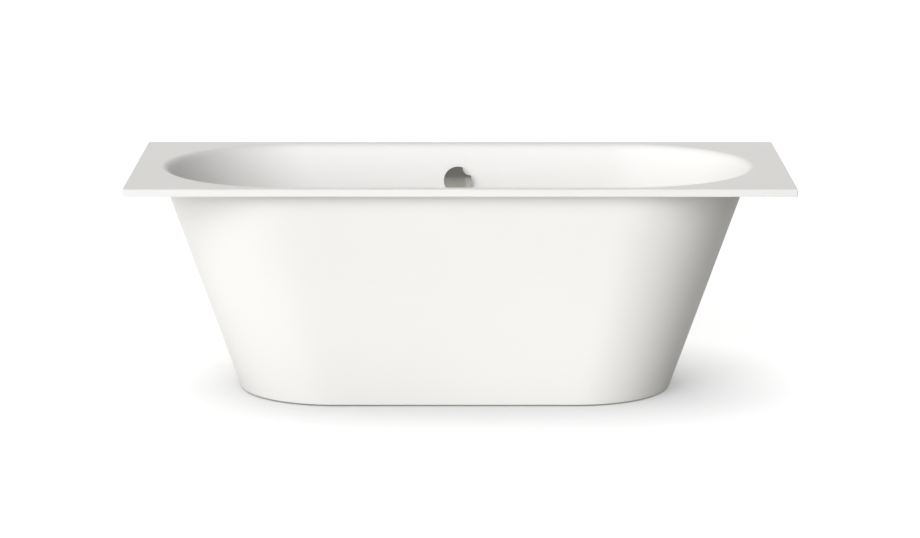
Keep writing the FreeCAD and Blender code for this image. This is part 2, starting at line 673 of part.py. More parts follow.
foot_nuts("rail_nuts", rail_web - d.rail_nut_height, d.rail_nut_height)
foot_nuts("foot_lock_nuts", rail_web - d.rail_nut_height - d.lock_nut_height, d.lock_nut_height)
for place, (x, y) in foot_places.items():
    stem = new_body(f"foot_stem_{place}", x=x, y=y)
    pad(stem, circle(drawing(stem, "shaft", lift=d.stem_foot), d.stem_radius),
        base_foot + d.stem_rise - d.stem_foot)
    pad(stem, hexagon(drawing(stem, "collar", lift=d.stem_collar_foot), ZERO, ZERO, d.stem_collar),
        d.stem_collar_height)
    foot = new_body(f"foot_pad_{place}", x=x, y=y)
    turn(foot, [(ZERO, ZERO), (d.pad_radius, ZERO), (d.pad_radius, d.pad_rim), (d.pad_neck, d.pad_height),
                (d.stem_radius, d.pad_height), (d.stem_radius, d.stem_foot), (ZERO, d.stem_foot)])


# Waste in the bowl floor: chrome flange between two gaskets, screwed into the waste body.
# Its spokes carry the guide hub of the plug stem.
def guide_hub(body, low):
    """Two crossed spokes and a bored hub inside a tail."""
    half = d.spoke_width / 2
    reach = (d.tail_radius + d.tail_bore) / 2
    pad(body, rectangle(drawing(body, "spoke_x", lift=low), -reach, reach, -half, half), d.hub_height)
    pad(body, rectangle(drawing(body, "spoke_y", lift=low), -half, half, -reach, reach), d.hub_height)
    pad(body, circle(drawing(body, "hub", lift=low), d.hub_radius), d.hub_height)
    pocket(body, circle(drawing(body, "hub_bore", lift=low), d.shaft_radius + d.shaft_gap),
           d.hub_height, reverse=True)


flange_foot = seat_height + d.upper_gasket
flange_top = flange_foot + d.flange_lip
flange_dip = flange_top - d.flange_dip
tail_end = flange_foot - d.tail_length
ring("waste_gasket_upper", d.gasket_bore, d.flange_radius, seat_height, flange_foot, x=waste_x)
waste_flange = new_body("waste_flange", x=waste_x)
turn(waste_flange, [(d.tail_bore, tail_end), (d.tail_radius, tail_end), (d.tail_radius, flange_foot),
                    (d.flange_radius, flange_foot), (d.flange_radius, flange_top), (d.plug_seat, flange_dip),
                    (d.tail_bore, flange_dip - d.plug_seat_depth)])
guide_hub(waste_flange, tail_end)

body_top = boss_under - d.lower_gasket
ring("waste_gasket_lower", d.gasket_bore, d.lower_gasket_radius, body_top, boss_under, x=waste_x)
chamber_foot = body_top - d.chamber_depth
chamber_bore = d.chamber_radius - d.chamber_wall
inlet_height = body_top - d.inlet_drop
dip_bore = d.dip_radius - d.dip_wall
crown = body_top - d.crown_depth
stem_tip = flange_top + d.plug_gap - d.stem_length
lever_top = stem_tip - d.lever_gap
pivot_height = lever_top - d.lever_shaft
crank_top = pivot_height + d.crank_rise
waste_body = new_body("waste_body", x=waste_x)
turn(waste_body, [(d.tail_radius, body_top), (d.collar_radius, body_top),
                  (d.collar_radius, body_top - d.collar_depth), (d.chamber_radius, body_top - d.collar_depth),
                  (d.chamber_radius, chamber_foot), (d.dip_radius, chamber_foot),
                  (d.dip_radius, chamber_foot - d.dip_length), (dip_bore, chamber_foot - d.dip_length),
                  (dip_bore, chamber_foot + d.chamber_wall), (chamber_bore, chamber_foot + d.chamber_wall),
                  (chamber_bore, crown), (d.tail_radius, crown)])
middle = d.chamber_radius - d.chamber_wall / 2
gland_root = root(middle * middle - d.cable_side * d.cable_side)
inlet = circle(drawing(waste_body, "inlet", "XZ_Plane", lift=-middle), d.socket_radius, y=inlet_height)
pad(waste_body, inlet, d.inlet_reach - middle, reverse=True)
gland = circle(drawing(waste_body, "gland", "XZ_Plane", lift=-gland_root), d.gland_radius, d.cable_side, crank_top)
pad(waste_body, gland, d.gland_reach - gland_root, reverse=True)
socket = circle(drawing(waste_body, "socket", "XZ_Plane", lift=-d.inlet_seat), d.pipe_radius, y=inlet_height)
pocket(waste_body, socket, d.inlet_reach - d.inlet_seat)
passage = circle(drawing(waste_body, "passage", "XZ_Plane", lift=-d.tail_radius),
                 d.pipe_radius - d.pipe_wall, y=inlet_height)
pocket(waste_body, passage, d.inlet_seat - d.tail_radius)
cable_bore = circle(drawing(waste_body, "cable_bore", "XZ_Plane", lift=-d.gland_seat),
                    d.cable_radius, d.cable_side, crank_top)
pocket(waste_body, cable_bore, d.gland_reach - d.gland_seat)
pivot_half = d.lever_shaft_half + d.stem_gap
pivot = circle(drawing(waste_body, "pivot", "YZ_Plane", lift=pivot_half), d.lever_shaft + d.shaft_gap,
               -d.lever_pivot_y, pivot_height)
pocket(waste_body, pivot, pivot_half * 2)

# Plug: domed cap, seal and stem, lifted by a lever that the cable turns.
plug_foot = flange_top + d.plug_gap
seal_foot = plug_foot - d.plug_seal_height
plug = new_body("plug_cap", x=waste_x)
turn(plug, [(d.shaft_radius, seal_foot), (d.plug_boss, seal_foot), (d.plug_boss, plug_foot),
            (d.plug_radius, plug_foot), (d.plug_radius, plug_foot + d.plug_edge),
            (d.plug_boss, plug_foot + d.plug_dome + d.plug_edge / 2),
            (ZERO, plug_foot + d.plug_dome + d.plug_edge), (ZERO, plug_foot), (d.shaft_radius, plug_foot)])
round_off(plug, lambda edge: level(edge, plug_foot + d.plug_edge)
          or level(edge, plug_foot + d.plug_dome + d.plug_edge / 2), d.plug_edge / 2)
ring("plug_seal", d.plug_boss, d.plug_seal_radius, seal_foot, plug_foot, x=waste_x)
plug_stem = new_body("plug_stem", x=waste_x)
pad(plug_stem, circle(drawing(plug_stem, "shaft", lift=stem_tip), d.shaft_radius), plug_foot - stem_tip)
tip_share = 0.999
round_off(plug_stem, lambda edge: level(edge, stem_tip), d.shaft_radius * tip_share)

lever = new_body("lift_lever", x=waste_x, y=-d.lever_pivot_y, z=pivot_height)
shaft = circle(drawing(lever, "shaft", "YZ_Plane", lift=-d.lever_shaft_half), d.lever_shaft)
pad(lever, shaft, d.lever_shaft_half * 2)
arm = rectangle(drawing(lever, "arm", lift=-d.lever_shaft), -d.lever_width / 2, d.lever_width / 2,
                ZERO, d.lever_pivot_y + d.lever_tip)
pad(lever, arm, d.lever_shaft * 2)
crank = rectangle(drawing(lever, "crank"), d.cable_side - d.crank_width / 2, d.cable_side + d.crank_width / 2,
                  -d.lever_shaft, d.lever_shaft)
pad(lever, crank, d.crank_rise)

# Trap: cup screwed over the waste body, with the outlet pipe clamped to its side.
trap_ledge = chamber_foot - d.trap_seal
trap_bore = d.trap_radius - d.trap_wall
trap_top = chamber_foot + d.trap_overlap
trap_inner = d.trap_floor + d.trap_base
ring("trap_seal", trap_bore, d.chamber_radius, trap_ledge, chamber_foot, x=waste_x)
trap = new_body("trap_cup", x=waste_x)
turn(trap, [(ZERO, d.trap_floor), (d.trap_radius - d.trap_bevel, d.trap_floor),
            (d.trap_radius, d.trap_floor + d.trap_bevel), (d.trap_radius, trap_top - d.trap_collar_height),
            (d.trap_collar, trap_top - d.trap_collar_height), (d.trap_collar, trap_top),
            (d.chamber_radius, trap_top), (d.chamber_radius, trap_ledge), (trap_bore, trap_ledge),
            (trap_bore, trap_inner + d.trap_bevel), (trap_bore - d.trap_bevel, trap_inner), (ZERO, trap_inner)])
trap_middle = d.trap_radius - d.trap_wall / 2
stub = circle(drawing(trap, "stub", "XZ_Plane", lift=-trap_middle), d.outlet_stub, y=d.outlet_height)
pad(trap, stub, d.outlet_stub_reach - trap_middle, reverse=True)
stub_socket = circle(drawing(trap, "stub_socket", "XZ_Plane", lift=-d.outlet_seat), d.outlet_pipe_radius,
                     y=d.outlet_height)
pocket(trap, stub_socket, d.outlet_stub_reach - d.outlet_seat)
throat = circle(drawing(trap, "throat", "XZ_Plane"), d.outlet_bore, y=d.outlet_height)
pocket(trap, throat, d.outlet_seat)

seal_end = d.outlet_stub_reach + d.outlet_seal
nut_end = seal_end + d.outlet_nut_lip
nut_start = nut_end - d.outlet_nut_length
seat_along_y(ring("outlet_seal", d.outlet_pipe_radius, d.outlet_stub, d.outlet_stub_reach, seal_end),
             d.outlet_height)
outlet_nut = seat_along_y(new_body("outlet_nut"), d.outlet_height)
turn(outlet_nut, [(d.outlet_stub, nut_start), (d.outlet_nut_radius, nut_start), (d.outlet_nut_radius, nut_end),
                  (d.outlet_pipe_radius, nut_end), (d.outlet_pipe_radius, seal_end), (d.outlet_stub, seal_end)])
outlet = seat_along_y(new_body("outlet_pipe"), d.outlet_height)
outlet_reach = half_rim_width - d.outlet_setback
spigot = outlet_reach - d.spigot_length
turn(outlet, [(d.outlet_bore, d.outlet_seat), (d.outlet_pipe_radius, d.outlet_seat),
              (d.outlet_pipe_radius, spigot), (d.spigot_radius, spigot), (d.spigot_radius, outlet_reach),
              (d.outlet_bore, outlet_reach)])

# Overflow in the rear wall: body behind a gasket, flange with guide hub in the bowl,
# and the knob whose spindle carries the cable drum.
gasket_back = -d.shell_wall - d.overflow_gasket
body_back = gasket_back - d.overflow_depth
seat_at_overflow(ring("overflow_gasket", d.overflow_hole, d.overflow_gasket_radius, gasket_back, -d.shell_wall))
overflow = seat_at_overflow(new_body("overflow_body"))
overflow_bore = d.overflow_radius - d.overflow_wall
thread_end = gasket_back - d.overflow_thread
turn(overflow, [(d.tail_radius, gasket_back), (d.overflow_collar, gasket_back),
                (d.overflow_collar, gasket_back - d.overflow_collar_depth),
                (d.overflow_radius, gasket_back - d.overflow_collar_depth), (d.overflow_radius, body_back),
                (ZERO, body_back), (ZERO, body_back + d.overflow_wall),
                (overflow_bore, body_back + d.overflow_wall), (overflow_bore, thread_end),
                (d.tail_radius, thread_end)])
rim_middle = d.overflow_radius - d.overflow_wall / 2
gland_start = root(rim_middle * rim_middle - d.cable_side * d.cable_side)
socket = circle(drawing(overflow, "socket", "XZ_Plane", lift=rim_middle), d.socket_radius, y=-d.overflow_axis)
pad(overflow, socket, d.overflow_socket_end - rim_middle)
gland = circle(drawing(overflow, "gland", "XZ_Plane", lift=gland_start), d.gland_radius,
               d.cable_side, -d.overflow_axis)
pad(overflow, gland, d.overflow_gland_end - gland_start)
bore = circle(drawing(overflow, "bore", "XZ_Plane", lift=d.overflow_pipe_seat), d.pipe_radius, y=-d.overflow_axis)
pocket(overflow, bore, d.overflow_socket_end - d.overflow_pipe_seat, reverse=True)
passage = circle(drawing(overflow, "passage", "XZ_Plane"), d.pipe_radius - d.pipe_wall, y=-d.overflow_axis)
pocket(overflow, passage, d.overflow_pipe_seat, reverse=True)
cable_bore = circle(drawing(overflow, "cable_bore", "XZ_Plane", lift=d.overflow_cable_seat),
                    d.cable_radius, d.cable_side, -d.overflow_axis)
pocket(overflow, cable_bore, d.overflow_gland_end - d.overflow_cable_seat, reverse=True)

face = seat_at_overflow(new_body("overflow_flange"))
turn(face, [(d.tail_bore, -d.face_tail), (d.tail_radius, -d.face_tail), (d.tail_radius, ZERO),
            (d.face_radius, ZERO), (d.face_radius, d.face_depth), (d.tail_bore, d.face_depth)])
guide_hub(face, -d.hub_height)
knob_end = d.knob_back + d.knob_edge
spindle = seat_at_overflow(new_body("overflow_spindle"))
turn(spindle, [(ZERO, -d.spindle_depth), (d.drum_radius, -d.spindle_depth),
               (d.drum_radius, d.drum_width - d.spindle_depth), (d.shaft_radius, d.drum_width - d.spindle_depth),
               (d.shaft_radius, d.knob_back + d.knob_socket), (ZERO, d.knob_back + d.knob_socket)])
knob = seat_at_overflow(new_body("overflow_knob"))
turn(knob, [(d.shaft_radius, d.knob_back - d.knob_boss_depth), (d.knob_boss, d.knob_back - d.knob_boss_depth),
            (d.knob_boss, d.knob_back), (d.knob_radius, d.knob_back), (d.knob_radius, knob_end),
            (ZERO, knob_end + d.knob_dome), (ZERO, d.knob_back + d.knob_socket),
            (d.shaft_radius, d.knob_back + d.knob_socket)])
notch_side = d.notch_reach / math.sqrt(2)
notch = circle(drawing(knob, "notch", lift=d.knob_back - d.overrun), d.notch_radius, notch_side, notch_side)
pocket(knob, notch, knob_end + d.overrun * 2, reverse=True)
round_off(knob, lambda edge: edge.BoundBox.ZMin > knob_end.number - d.tolerance.number
          and edge.BoundBox.ZMax < knob_end.number + d.knob_dome.number / 2, d.knob_bevel)

# Overflow pipe from the overflow down behind the bowl to the waste, with a union nut at each end.
# The sheathed cable runs beside it and is tied to it by two clips.
pipe_y = overflow_y + d.overflow_axis * lean_cos
pipe_z = overflow_z - d.overflow_axis * lean_sin


def run(label, side, low, upper_seat, lower_seat):
    """A line down along the bowl wall, a bend, then a line to the waste."""
    body = new_body(label, x=waste_x + side)
    corner_y = pipe_y - (pipe_z - low) * side_slope
    setback = d.pipe_bend * (ONE - lean_sin) / lean_cos
    top_y = pipe_y - upper_seat * lean_sin
    top_z = pipe_z - upper_seat * lean_cos
    bend_y = corner_y + setback * lean_sin
    bend_z = low + setback * lean_cos
    centre_y = corner_y - setback
    centre_z = low + d.pipe_bend
    path = drawing(body, "path", "YZ_Plane")
    bend = FreeCAD.Vector(bend_y.number, bend_z.number, 0)
    level_start = FreeCAD.Vector(centre_y.number, low.number, 0)
    lowest = -math.pi / 2
    turn_end = -math.atan2(lean_sin.number, lean_cos.number)
    arc = Part.Circle(FreeCAD.Vector(centre_y.number, centre_z.number, 0), FreeCAD.Vector(0, 0, 1),
                      d.pipe_bend.number)
    path.addGeometry(Part.LineSegment(FreeCAD.Vector(lower_seat.number, low.number, 0), level_start), False)
    path.addGeometry(Part.ArcOfCircle(arc, lowest, turn_end), False)
    path.addGeometry(Part.LineSegment(bend, FreeCAD.Vector(top_y.number, top_z.number, 0)), False)
    path.addConstraint(Sketcher.Constraint("Tangent", 0, 2, 1, 1))
    path.addConstraint(Sketcher.Constraint("Tangent", 1, 2, 2, 1))
    limit(path, "Radius", (1,), d.pipe_bend)
    pin(path, 1, 3, centre_y, centre_z)
    pin(path, 0, 1, lower_seat, low)
    pin(path, 2, 2, top_y, top_z)
    return body, path


def sweep(body, kind, path, start, radius, low):
    profile = circle(drawing(body, f"{kind}_section", "XZ_Plane", lift=-start), radius, y=low)
    made = body.newObject(f"PartDesign::{kind}Pipe", f"{body.Name}_{kind}")
    made.Profile = profile
    made.Spine = (path, ["Edge1", "Edge2", "Edge3"])


pipe, path = run("overflow_pipe", ZERO, inlet_height, d.overflow_pipe_seat, d.inlet_seat)
sweep(pipe, "Additive", path, d.inlet_seat, d.pipe_radius, inlet_height)
sweep(pipe, "Subtractive", path, d.inlet_seat, d.pipe_radius - d.pipe_wall, inlet_height)
cable, path = run("bowden_cable", d.cable_side, crank_top, d.overflow_cable_seat, d.gland_seat)
sweep(cable, "Additive", path, d.gland_seat, d.cable_radius, crank_top)


def union_profile(start, end, covered):
    """Union nut over a socket from start to covered, over the pipe from there to end."""
    return [(d.socket_radius, start), (d.union_radius, start), (d.union_radius, end), (d.pipe_radius, end),
            (d.pipe_radius, covered), (d.socket_radius, covered)]


lower_end = d.inlet_reach + d.union_cover
lower_nut = seat_along_y(new_body("overflow_nut_lower"), inlet_height)
turn(lower_nut, union_profile(lower_end - d.union_length, lower_end, d.inlet_reach))
upper_end = d.overflow_socket_end + d.union_cover
upper_nut = new_body("overflow_nut_upper")
upper_nut.Placement = FreeCAD.Placement(FreeCAD.Vector(), FreeCAD.Rotation(FreeCAD.Vector(1, 0, 0), 180))
upper_nut.setExpression("Placement.Base.x", waste_x.text)
upper_nut.setExpression("Placement.Base.y", pipe_y.text)
upper_nut.setExpression("Placement.Base.z", pipe_z.text)
upper_nut.setExpression("Placement.Rotation.Angle", f"180 deg - atan({side_slope.text})")
turn(upper_nut, union_profile(upper_end - d.union_length, upper_end, d.overflow_socket_end))

clips = seat_at_overflow(new_body("cable_clips", several=True))
straight = (pipe_z - inlet_height) / lean_cos - d.pipe_bend * (ONE - lean_sin) / lean_cos
clip_shares = (0.45, 0.85)
for index, share in enumerate(clip_shares):
    drop = straight * share
    big = circle(drawing(clips, f"big_{index}", "XZ_Plane", lift=drop), d.pipe_radius + d.clip_wall,
                 y=-d.overflow_axis)
    pad(clips, big, d.clip_width)
    bridge = rectangle(drawing(clips, f"bridge_{index}", "XZ_Plane", lift=drop), ZERO, d.cable_side,
                       -d.overflow_axis - d.clip_wall, d.clip_wall - d.overflow_axis)
    pad(clips, bridge, d.clip_width)
    small = circle(drawing(clips, f"small_{index}", "XZ_Plane", lift=drop), d.cable_radius + d.clip_wall,
                   d.cable_side, -d.overflow_axis)
    pad(clips, small, d.clip_width)
holes = drawing(clips, "holes", "XZ_Plane")
circle(holes, d.pipe_radius, y=-d.overflow_axis)
circle(holes, d.cable_radius, d.cable_side, -d.overflow_axis)
pocket(clips, holes, straight, reverse=True)

doc.recompute()
for item in doc.Objects:
    if "Invalid" in item.State or "Error" in item.State:
        raise RuntimeError(f"{item.Label} has state {item.State}")
os.makedirs("parts", exist_ok=True)
for body in nodes:
    if body.Shape.isNull() or not body.Shape.isValid() or not body.Shape.Solids:
        raise RuntimeError(f"{body.Label} has no valid solid")
    body.Shape.exportStep(f"parts/{body.Label}.step")
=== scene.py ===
import math

import bmesh
import bpy
from mathutils import Matrix, Vector


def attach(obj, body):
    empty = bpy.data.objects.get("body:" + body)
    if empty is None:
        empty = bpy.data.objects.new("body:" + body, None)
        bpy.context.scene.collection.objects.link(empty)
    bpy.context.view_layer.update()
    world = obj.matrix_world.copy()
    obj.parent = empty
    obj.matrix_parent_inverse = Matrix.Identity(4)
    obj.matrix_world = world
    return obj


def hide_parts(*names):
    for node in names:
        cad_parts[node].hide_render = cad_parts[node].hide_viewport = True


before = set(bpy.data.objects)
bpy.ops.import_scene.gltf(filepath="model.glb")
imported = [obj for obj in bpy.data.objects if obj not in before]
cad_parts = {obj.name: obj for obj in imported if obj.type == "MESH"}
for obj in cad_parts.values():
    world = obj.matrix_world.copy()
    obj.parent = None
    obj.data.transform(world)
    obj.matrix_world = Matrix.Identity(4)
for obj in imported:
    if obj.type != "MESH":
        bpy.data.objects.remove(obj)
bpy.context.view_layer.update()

scene = bpy.context.scene
for startup in ("Cube", "Light", "Camera"):
    if startup in bpy.data.objects:
        bpy.data.objects.remove(bpy.data.objects[startup])

# Tub shell: one sheet of white sanitary acrylic drawn into a mould, glass fibre laid on its back.
# Deck and bowl are a single skin 5 mm thick; waste seat and overflow hole are cut in afterwards.
# All drawings are in millimetres, and each finished piece is brought to metres.
shell_wall = 5
deck_half = (850, 375)
deck_top = 590
deck_foot = 571
deck_corner = 3
deck_inner_corner = 0.3
deck_round = 2
deck_hold = 1.5
deck_foot_round = 1
deck_foot_hold = 1.2
bowl = {"middle": -6, "top": deck_top, "drop": 440, "straight": 429, "straight_in": 101,
        "radius": 331, "radius_in": 110}
bowl_floor = deck_top - bowl["drop"]
mouth_round = 24
mouth_steps = 8
mouth_hold = 1.5
floor_round = 110
floor_steps = 16
floor_hold = 2
wall_shares = (0.012, 0.35, 0.65, 0.988)
rear_lean = math.atan(bowl["radius_in"] / bowl["drop"])
wall_out = Vector((0, math.cos(rear_lean), -math.sin(rear_lean)))
wall_up = Vector((0, math.sin(rear_lean), math.cos(rear_lean)))
overflow_drop = 97
overflow_hole = 27
overflow_at = Vector((bowl["middle"], bowl["radius"] - overflow_drop * math.tan(rear_lean),
                      deck_top - overflow_drop))
waste_seat = 38
waste_hole = 27
seat_floor = 146
boss_radius = 48
boss_foot = 141
quarter = math.pi / 2
crease = math.radians(32)


def new_piece(name, skin, *finishes):
    """Brings a drawing to metres, with soft shading that breaks where faces meet at an angle."""
    bmesh.ops.recalc_face_normals(skin, faces=skin.faces)
    for edge in skin.edges:
        edge.smooth = len(edge.link_faces) == 2 and edge.calc_face_angle() < crease
    for face in skin.faces:
        face.smooth = True
    bmesh.ops.scale(skin, vec=(0.001, 0.001, 0.001), verts=skin.verts)
    data = bpy.data.meshes.new(name)
    skin.to_mesh(data)
    skin.free()
    for finish in finishes:
        data.materials.append(finish)
    piece = bpy.data.objects.new(name, data)
    scene.collection.objects.link(piece)
    return piece


def add_ring(skin, points):
    """A closed row of points; the bands between rings come later."""
    return [skin.verts.new(point) for point in points]


def bridge(skin, first, second, finish=0, skip=()):
    """Closes the band between two rings of equally many points."""
    count = len(first)
    for index in range(count):
        if index not in skip:
            after = (index + 1) % count
            face = skin.faces.new((first[index], first[after], second[after], second[index]))
            face.material_index = finish


def bridge_all(skin, rings):
    """Closes the bands along a row of rings."""
    for first, second in zip(rings, rings[1:]):
        bridge(skin, first, second)


def fill(skin, *loops, finish=0):
    """Fills the flat area between an outer loop and any loops inside it."""
    edges = []
    for loop in loops:
        for start, end in zip(loop, loop[1:] + loop[:1]):
            edges.append(skin.edges.get((start, end)) or skin.edges.new((start, end)))
    for item in bmesh.ops.triangle_fill(skin, edges=edges, use_beauty=True)["geom"]:
        if isinstance(item, bmesh.types.BMFace):
            item.material_index = finish


def arc(centre, radius, start, end, steps):
    """Points along an arc, with both ends."""
    points = []
    for index in range(steps + 1):
        angle = start + (end - start) * index / steps
        points.append((centre[0] + radius * math.cos(angle), centre[1] + radius * math.sin(angle)))
    return points


def circle(centre, radius, up=Vector((0, 1, 0)), steps=72):
    """Points round a circle that lies in the x direction and one more."""
    right = Vector((1, 0, 0))
    points = []
    for index in range(steps):
        angle = math.tau * index / steps
        points.append(Vector(centre) + right * radius * math.cos(angle) + up * radius * math.sin(angle))
    return points


def rectangle(half_x, half_y, corner, z, steps=5):
    """Points round a rectangle with rounded corners, anticlockwise from the right-hand side."""
    points = []
    for turned, (side_x, side_y) in enumerate(((1, 1), (-1, 1), (-1, -1), (1, -1))):
        for index in range(steps + 1):
            angle = quarter * (turned + index / steps)
            points.append((side_x * (half_x - corner) + corner * math.cos(angle),
                           side_y * (half_y - corner) + corner * math.sin(angle), z))
    return points


end_steps = 72
flat_share = 0.99
half_turn = [math.pi * (index / end_steps - 0.5) for index in range(end_steps + 1)]
stadium = [(1, angle) for angle in half_turn]
stadium += [(flat_share, quarter), (-flat_share, quarter)]
stadium += [(-1, angle + math.pi) for angle in half_turn]
stadium += [(-flat_share, -quarter), (flat_share, -quarter)]
rear_straight = end_steps + 1


def stadium_point(form, side, angle, offset, z):
    """A point on a tapering stadium: side is the share of the half straight,
    angle the outward direction and offset the distance outside the drawn line."""
    share = (form["top"] - z) / form["drop"]
    reach = form["radius"] - form["radius_in"] * share + offset
    along = form["straight"] - form["straight_in"] * share
    return form["middle"] + side * along + reach * math.cos(angle), reach * math.sin(angle), z


def fill_rear(skin, rings, hole, finish):
    """Fills the flat rear of a stadium between its upper and lower ring, round a hole."""
    right_side = [ring[rear_straight] for ring in rings]
    left_side = [ring[rear_straight + 1] for ring in rings]
    fill(skin, right_side + left_side[::-1], hole, finish=finish)


def bowl_profile(angle, wall):
    """Outward offset and height from deck to floor; wall 0 gives the inside and 5 the back.
    A hold is a line close to a round that keeps the flat beside it flat."""
    slope = (bowl["straight_in"] * abs(math.cos(angle)) + bowl["radius_in"]) / bowl["drop"]
    lean = math.atan(slope)
    turned = quarter - lean
    mouth = mouth_round * math.tan(turned / 2)
    foot = -slope * bowl["drop"] - floor_round * math.tan(turned / 2)
    line = [(mouth + mouth_hold, deck_top - wall)]
    line += arc((mouth, deck_top - mouth_round), mouth_round - wall, quarter, quarter + turned, mouth_steps)
    low = arc((foot, bowl_floor + floor_round), floor_round + wall, -lean, -quarter, floor_steps)
    start = Vector(line[-1])
    line += [start.lerp(Vector(low[0]), share) for share in wall_shares]
    line += low
    line.append((foot - floor_hold, bowl_floor - wall))
    return [(offset + slope * (deck_top - z), z) for offset, z in line]


shell = bmesh.new()
wall_start = mouth_steps + 2
wall_end = wall_start + len(wall_shares)
faces_of_bowl = []
for finish, wall in enumerate((0, shell_wall)):
    profiles = [bowl_profile(angle, wall) for side, angle in stadium]
    rings = []
    for level in range(len(profiles[0])):
        rings.append(add_ring(shell, [stadium_point(bowl, side, angle, *profile[level])
                                      for (side, angle), profile in zip(stadium, profiles)]))
    for level, (upper, lower) in enumerate(zip(rings, rings[1:])):
        on_wall = wall_start <= level < wall_end - 1
        bridge(shell, upper, lower, finish, skip=(rear_straight,) if on_wall else ())
    hole = add_ring(shell, circle(overflow_at + wall_out * wall, overflow_hole, up=wall_up))
    fill_rear(shell, rings[wall_start:wall_end], hole, finish)
    faces_of_bowl.append((rings, hole))
(inner_rings, inner_hole), (outer_rings, outer_hole) = faces_of_bowl
bridge(shell, inner_hole, outer_hole)

round_end = deck_top - deck_round
foot_start = deck_foot + deck_foot_round
edge_line = [(deck_round + deck_hold, deck_top)]
edge_line += arc((deck_round, round_end), deck_round, quarter, math.pi, 4)
edge_line += [(0, round_end - deck_hold), (0, foot_start + deck_foot_hold)]
edge_line += arc((deck_foot_round, foot_start), deck_foot_round, math.pi, 3 * quarter, 2)
edge_line += [(deck_foot_round + deck_foot_hold / 2, deck_foot), (shell_wall, deck_foot),
              (shell_wall, deck_top - shell_wall)]
edge_rings = []
for inset, z in edge_line:
    corner = max(deck_corner - inset, deck_inner_corner)
    edge_rings.append(add_ring(shell, rectangle(deck_half[0] - inset, deck_half[1] - inset, corner, z)))
bridge_all(shell, edge_rings)
fill(shell, edge_rings[0], inner_rings[0])
fill(shell, edge_rings[-1], outer_rings[0], finish=1)

seat_line = [(waste_seat, bowl_floor), (waste_seat, seat_floor), (waste_hole, seat_floor),
             (waste_hole, boss_foot), (boss_radius, boss_foot), (boss_radius, bowl_floor - shell_wall)]
seat_rings = [add_ring(shell, circle((bowl["middle"], 0, z), radius)) for radius, z in seat_line]
bridge_all(shell, seat_rings)
fill(shell, inner_rings[-1], seat_rings[0])
fill(shell, outer_rings[-1], seat_rings[-1], finish=1)


def new_group(name, inputs, outputs):
    """An empty shader group with named sockets; an input is given as (name, kind, usual value)."""
    group = bpy.data.node_groups.new(name, "ShaderNodeTree")
    for label, kind, usual in inputs:
        group.interface.new_socket(name=label, in_out="INPUT", socket_type=kind).default_value = usual
    for label, kind in outputs:
        group.interface.new_socket(name=label, in_out="OUTPUT", socket_type=kind)
    return group, group.nodes.new("NodeGroupInput").outputs, group.nodes.new("NodeGroupOutput").inputs


def add_node(tree, kind, links=None, **settings):
    """A node with its settings; links maps an input to a socket or to a plain value."""
    node = tree.nodes.new(f"ShaderNode{kind}")
    for label, setting in settings.items():
        setattr(node, label, setting)
    for label, source in (links or {}).items():
        if isinstance(source, bpy.types.NodeSocket):
            tree.links.new(source, node.inputs[label])
        else:
            node.inputs[label].default_value = source
    return node


# Skin that every finish here shares: faint clouds in tone and gloss and a fine grain in height,
# as moulding, rolling and plating leave them. Each material sets how strong they are.
skin_group, given, result = new_group(
    "Moulded skin",
    [("Colour", "NodeSocketColor", (0.8, 0.8, 0.8, 1)), ("Tone spread", "NodeSocketFloat", 0.05),
     ("Gloss", "NodeSocketFloat", 0.4), ("Gloss spread", "NodeSocketFloat", 0.1),
     ("Cloud scale", "NodeSocketFloat", 10), ("Grain scale", "NodeSocketFloat", 400)],
    [("Colour", "NodeSocketColor"), ("Roughness", "NodeSocketFloat"), ("Height", "NodeSocketFloat")])
place = add_node(skin_group, "TexCoord").outputs["Object"]
clouds = add_node(skin_group, "TexNoise", {"Vector": place, "Scale": given["Cloud scale"], "Detail": 4})
grain = add_node(skin_group, "TexNoise", {"Vector": place, "Scale": given["Grain scale"], "Detail": 3})
darkest = add_node(skin_group, "Math", {0: 1, 1: given["Tone spread"]}, operation="SUBTRACT")
tone = add_node(skin_group, "MapRange", {"Value": clouds.outputs["Fac"], "From Min": 0.3, "From Max": 0.7,
                                         "To Min": darkest.outputs[0], "To Max": 1})
tinted = add_node(skin_group, "VectorMath", {0: given["Colour"], "Scale": tone.outputs["Result"]},
                  operation="SCALE")
centred = add_node(skin_group, "Math", {0: clouds.outputs["Fac"], 1: 0.5}, operation="SUBTRACT")
gloss = add_node(skin_group, "Math", {0: centred.outputs[0], 1: given["Gloss spread"], 2: given["Gloss"]},
                 operation="MULTIPLY_ADD")
skin_group.links.new(tinted.outputs["Vector"], result["Colour"])
skin_group.links.new(gloss.outputs[0], result["Roughness"])
skin_group.links.new(grain.outputs["Fac"], result["Height"])


def new_finish(name, bump, depth, metal=0, **skin_values):
    """A material with the moulded skin in it; the skin's values go by the names of its sockets."""
    finish = bpy.data.materials.new(name)
    finish.use_nodes = True
    tree = finish.node_tree
    shader = tree.nodes["Principled BSDF"]
    shader.inputs["Metallic"].default_value = metal
    skin = add_node(tree, "Group", node_tree=skin_group, name="Skin")
    for label, amount in skin_values.items():
        skin.inputs[label.replace("_", " ").capitalize()].default_value = amount
    relief = add_node(tree, "Bump", {"Strength": bump, "Distance": depth, "Height": skin.outputs["Height"]},
                      name="Relief")
    tree.links.new(skin.outputs["Colour"], shader.inputs["Base Color"])
    tree.links.new(skin.outputs["Roughness"], shader.inputs["Roughness"])
    tree.links.new(relief.outputs["Normal"], shader.inputs["Normal"])
    return finish


def mixed(tree, share, first, second):
    """One colour going over into another."""
    blend = add_node(tree, "Mix", {"Factor": share, 6: first, 7: second}, data_type="RGBA")
    return blend.outputs[2]


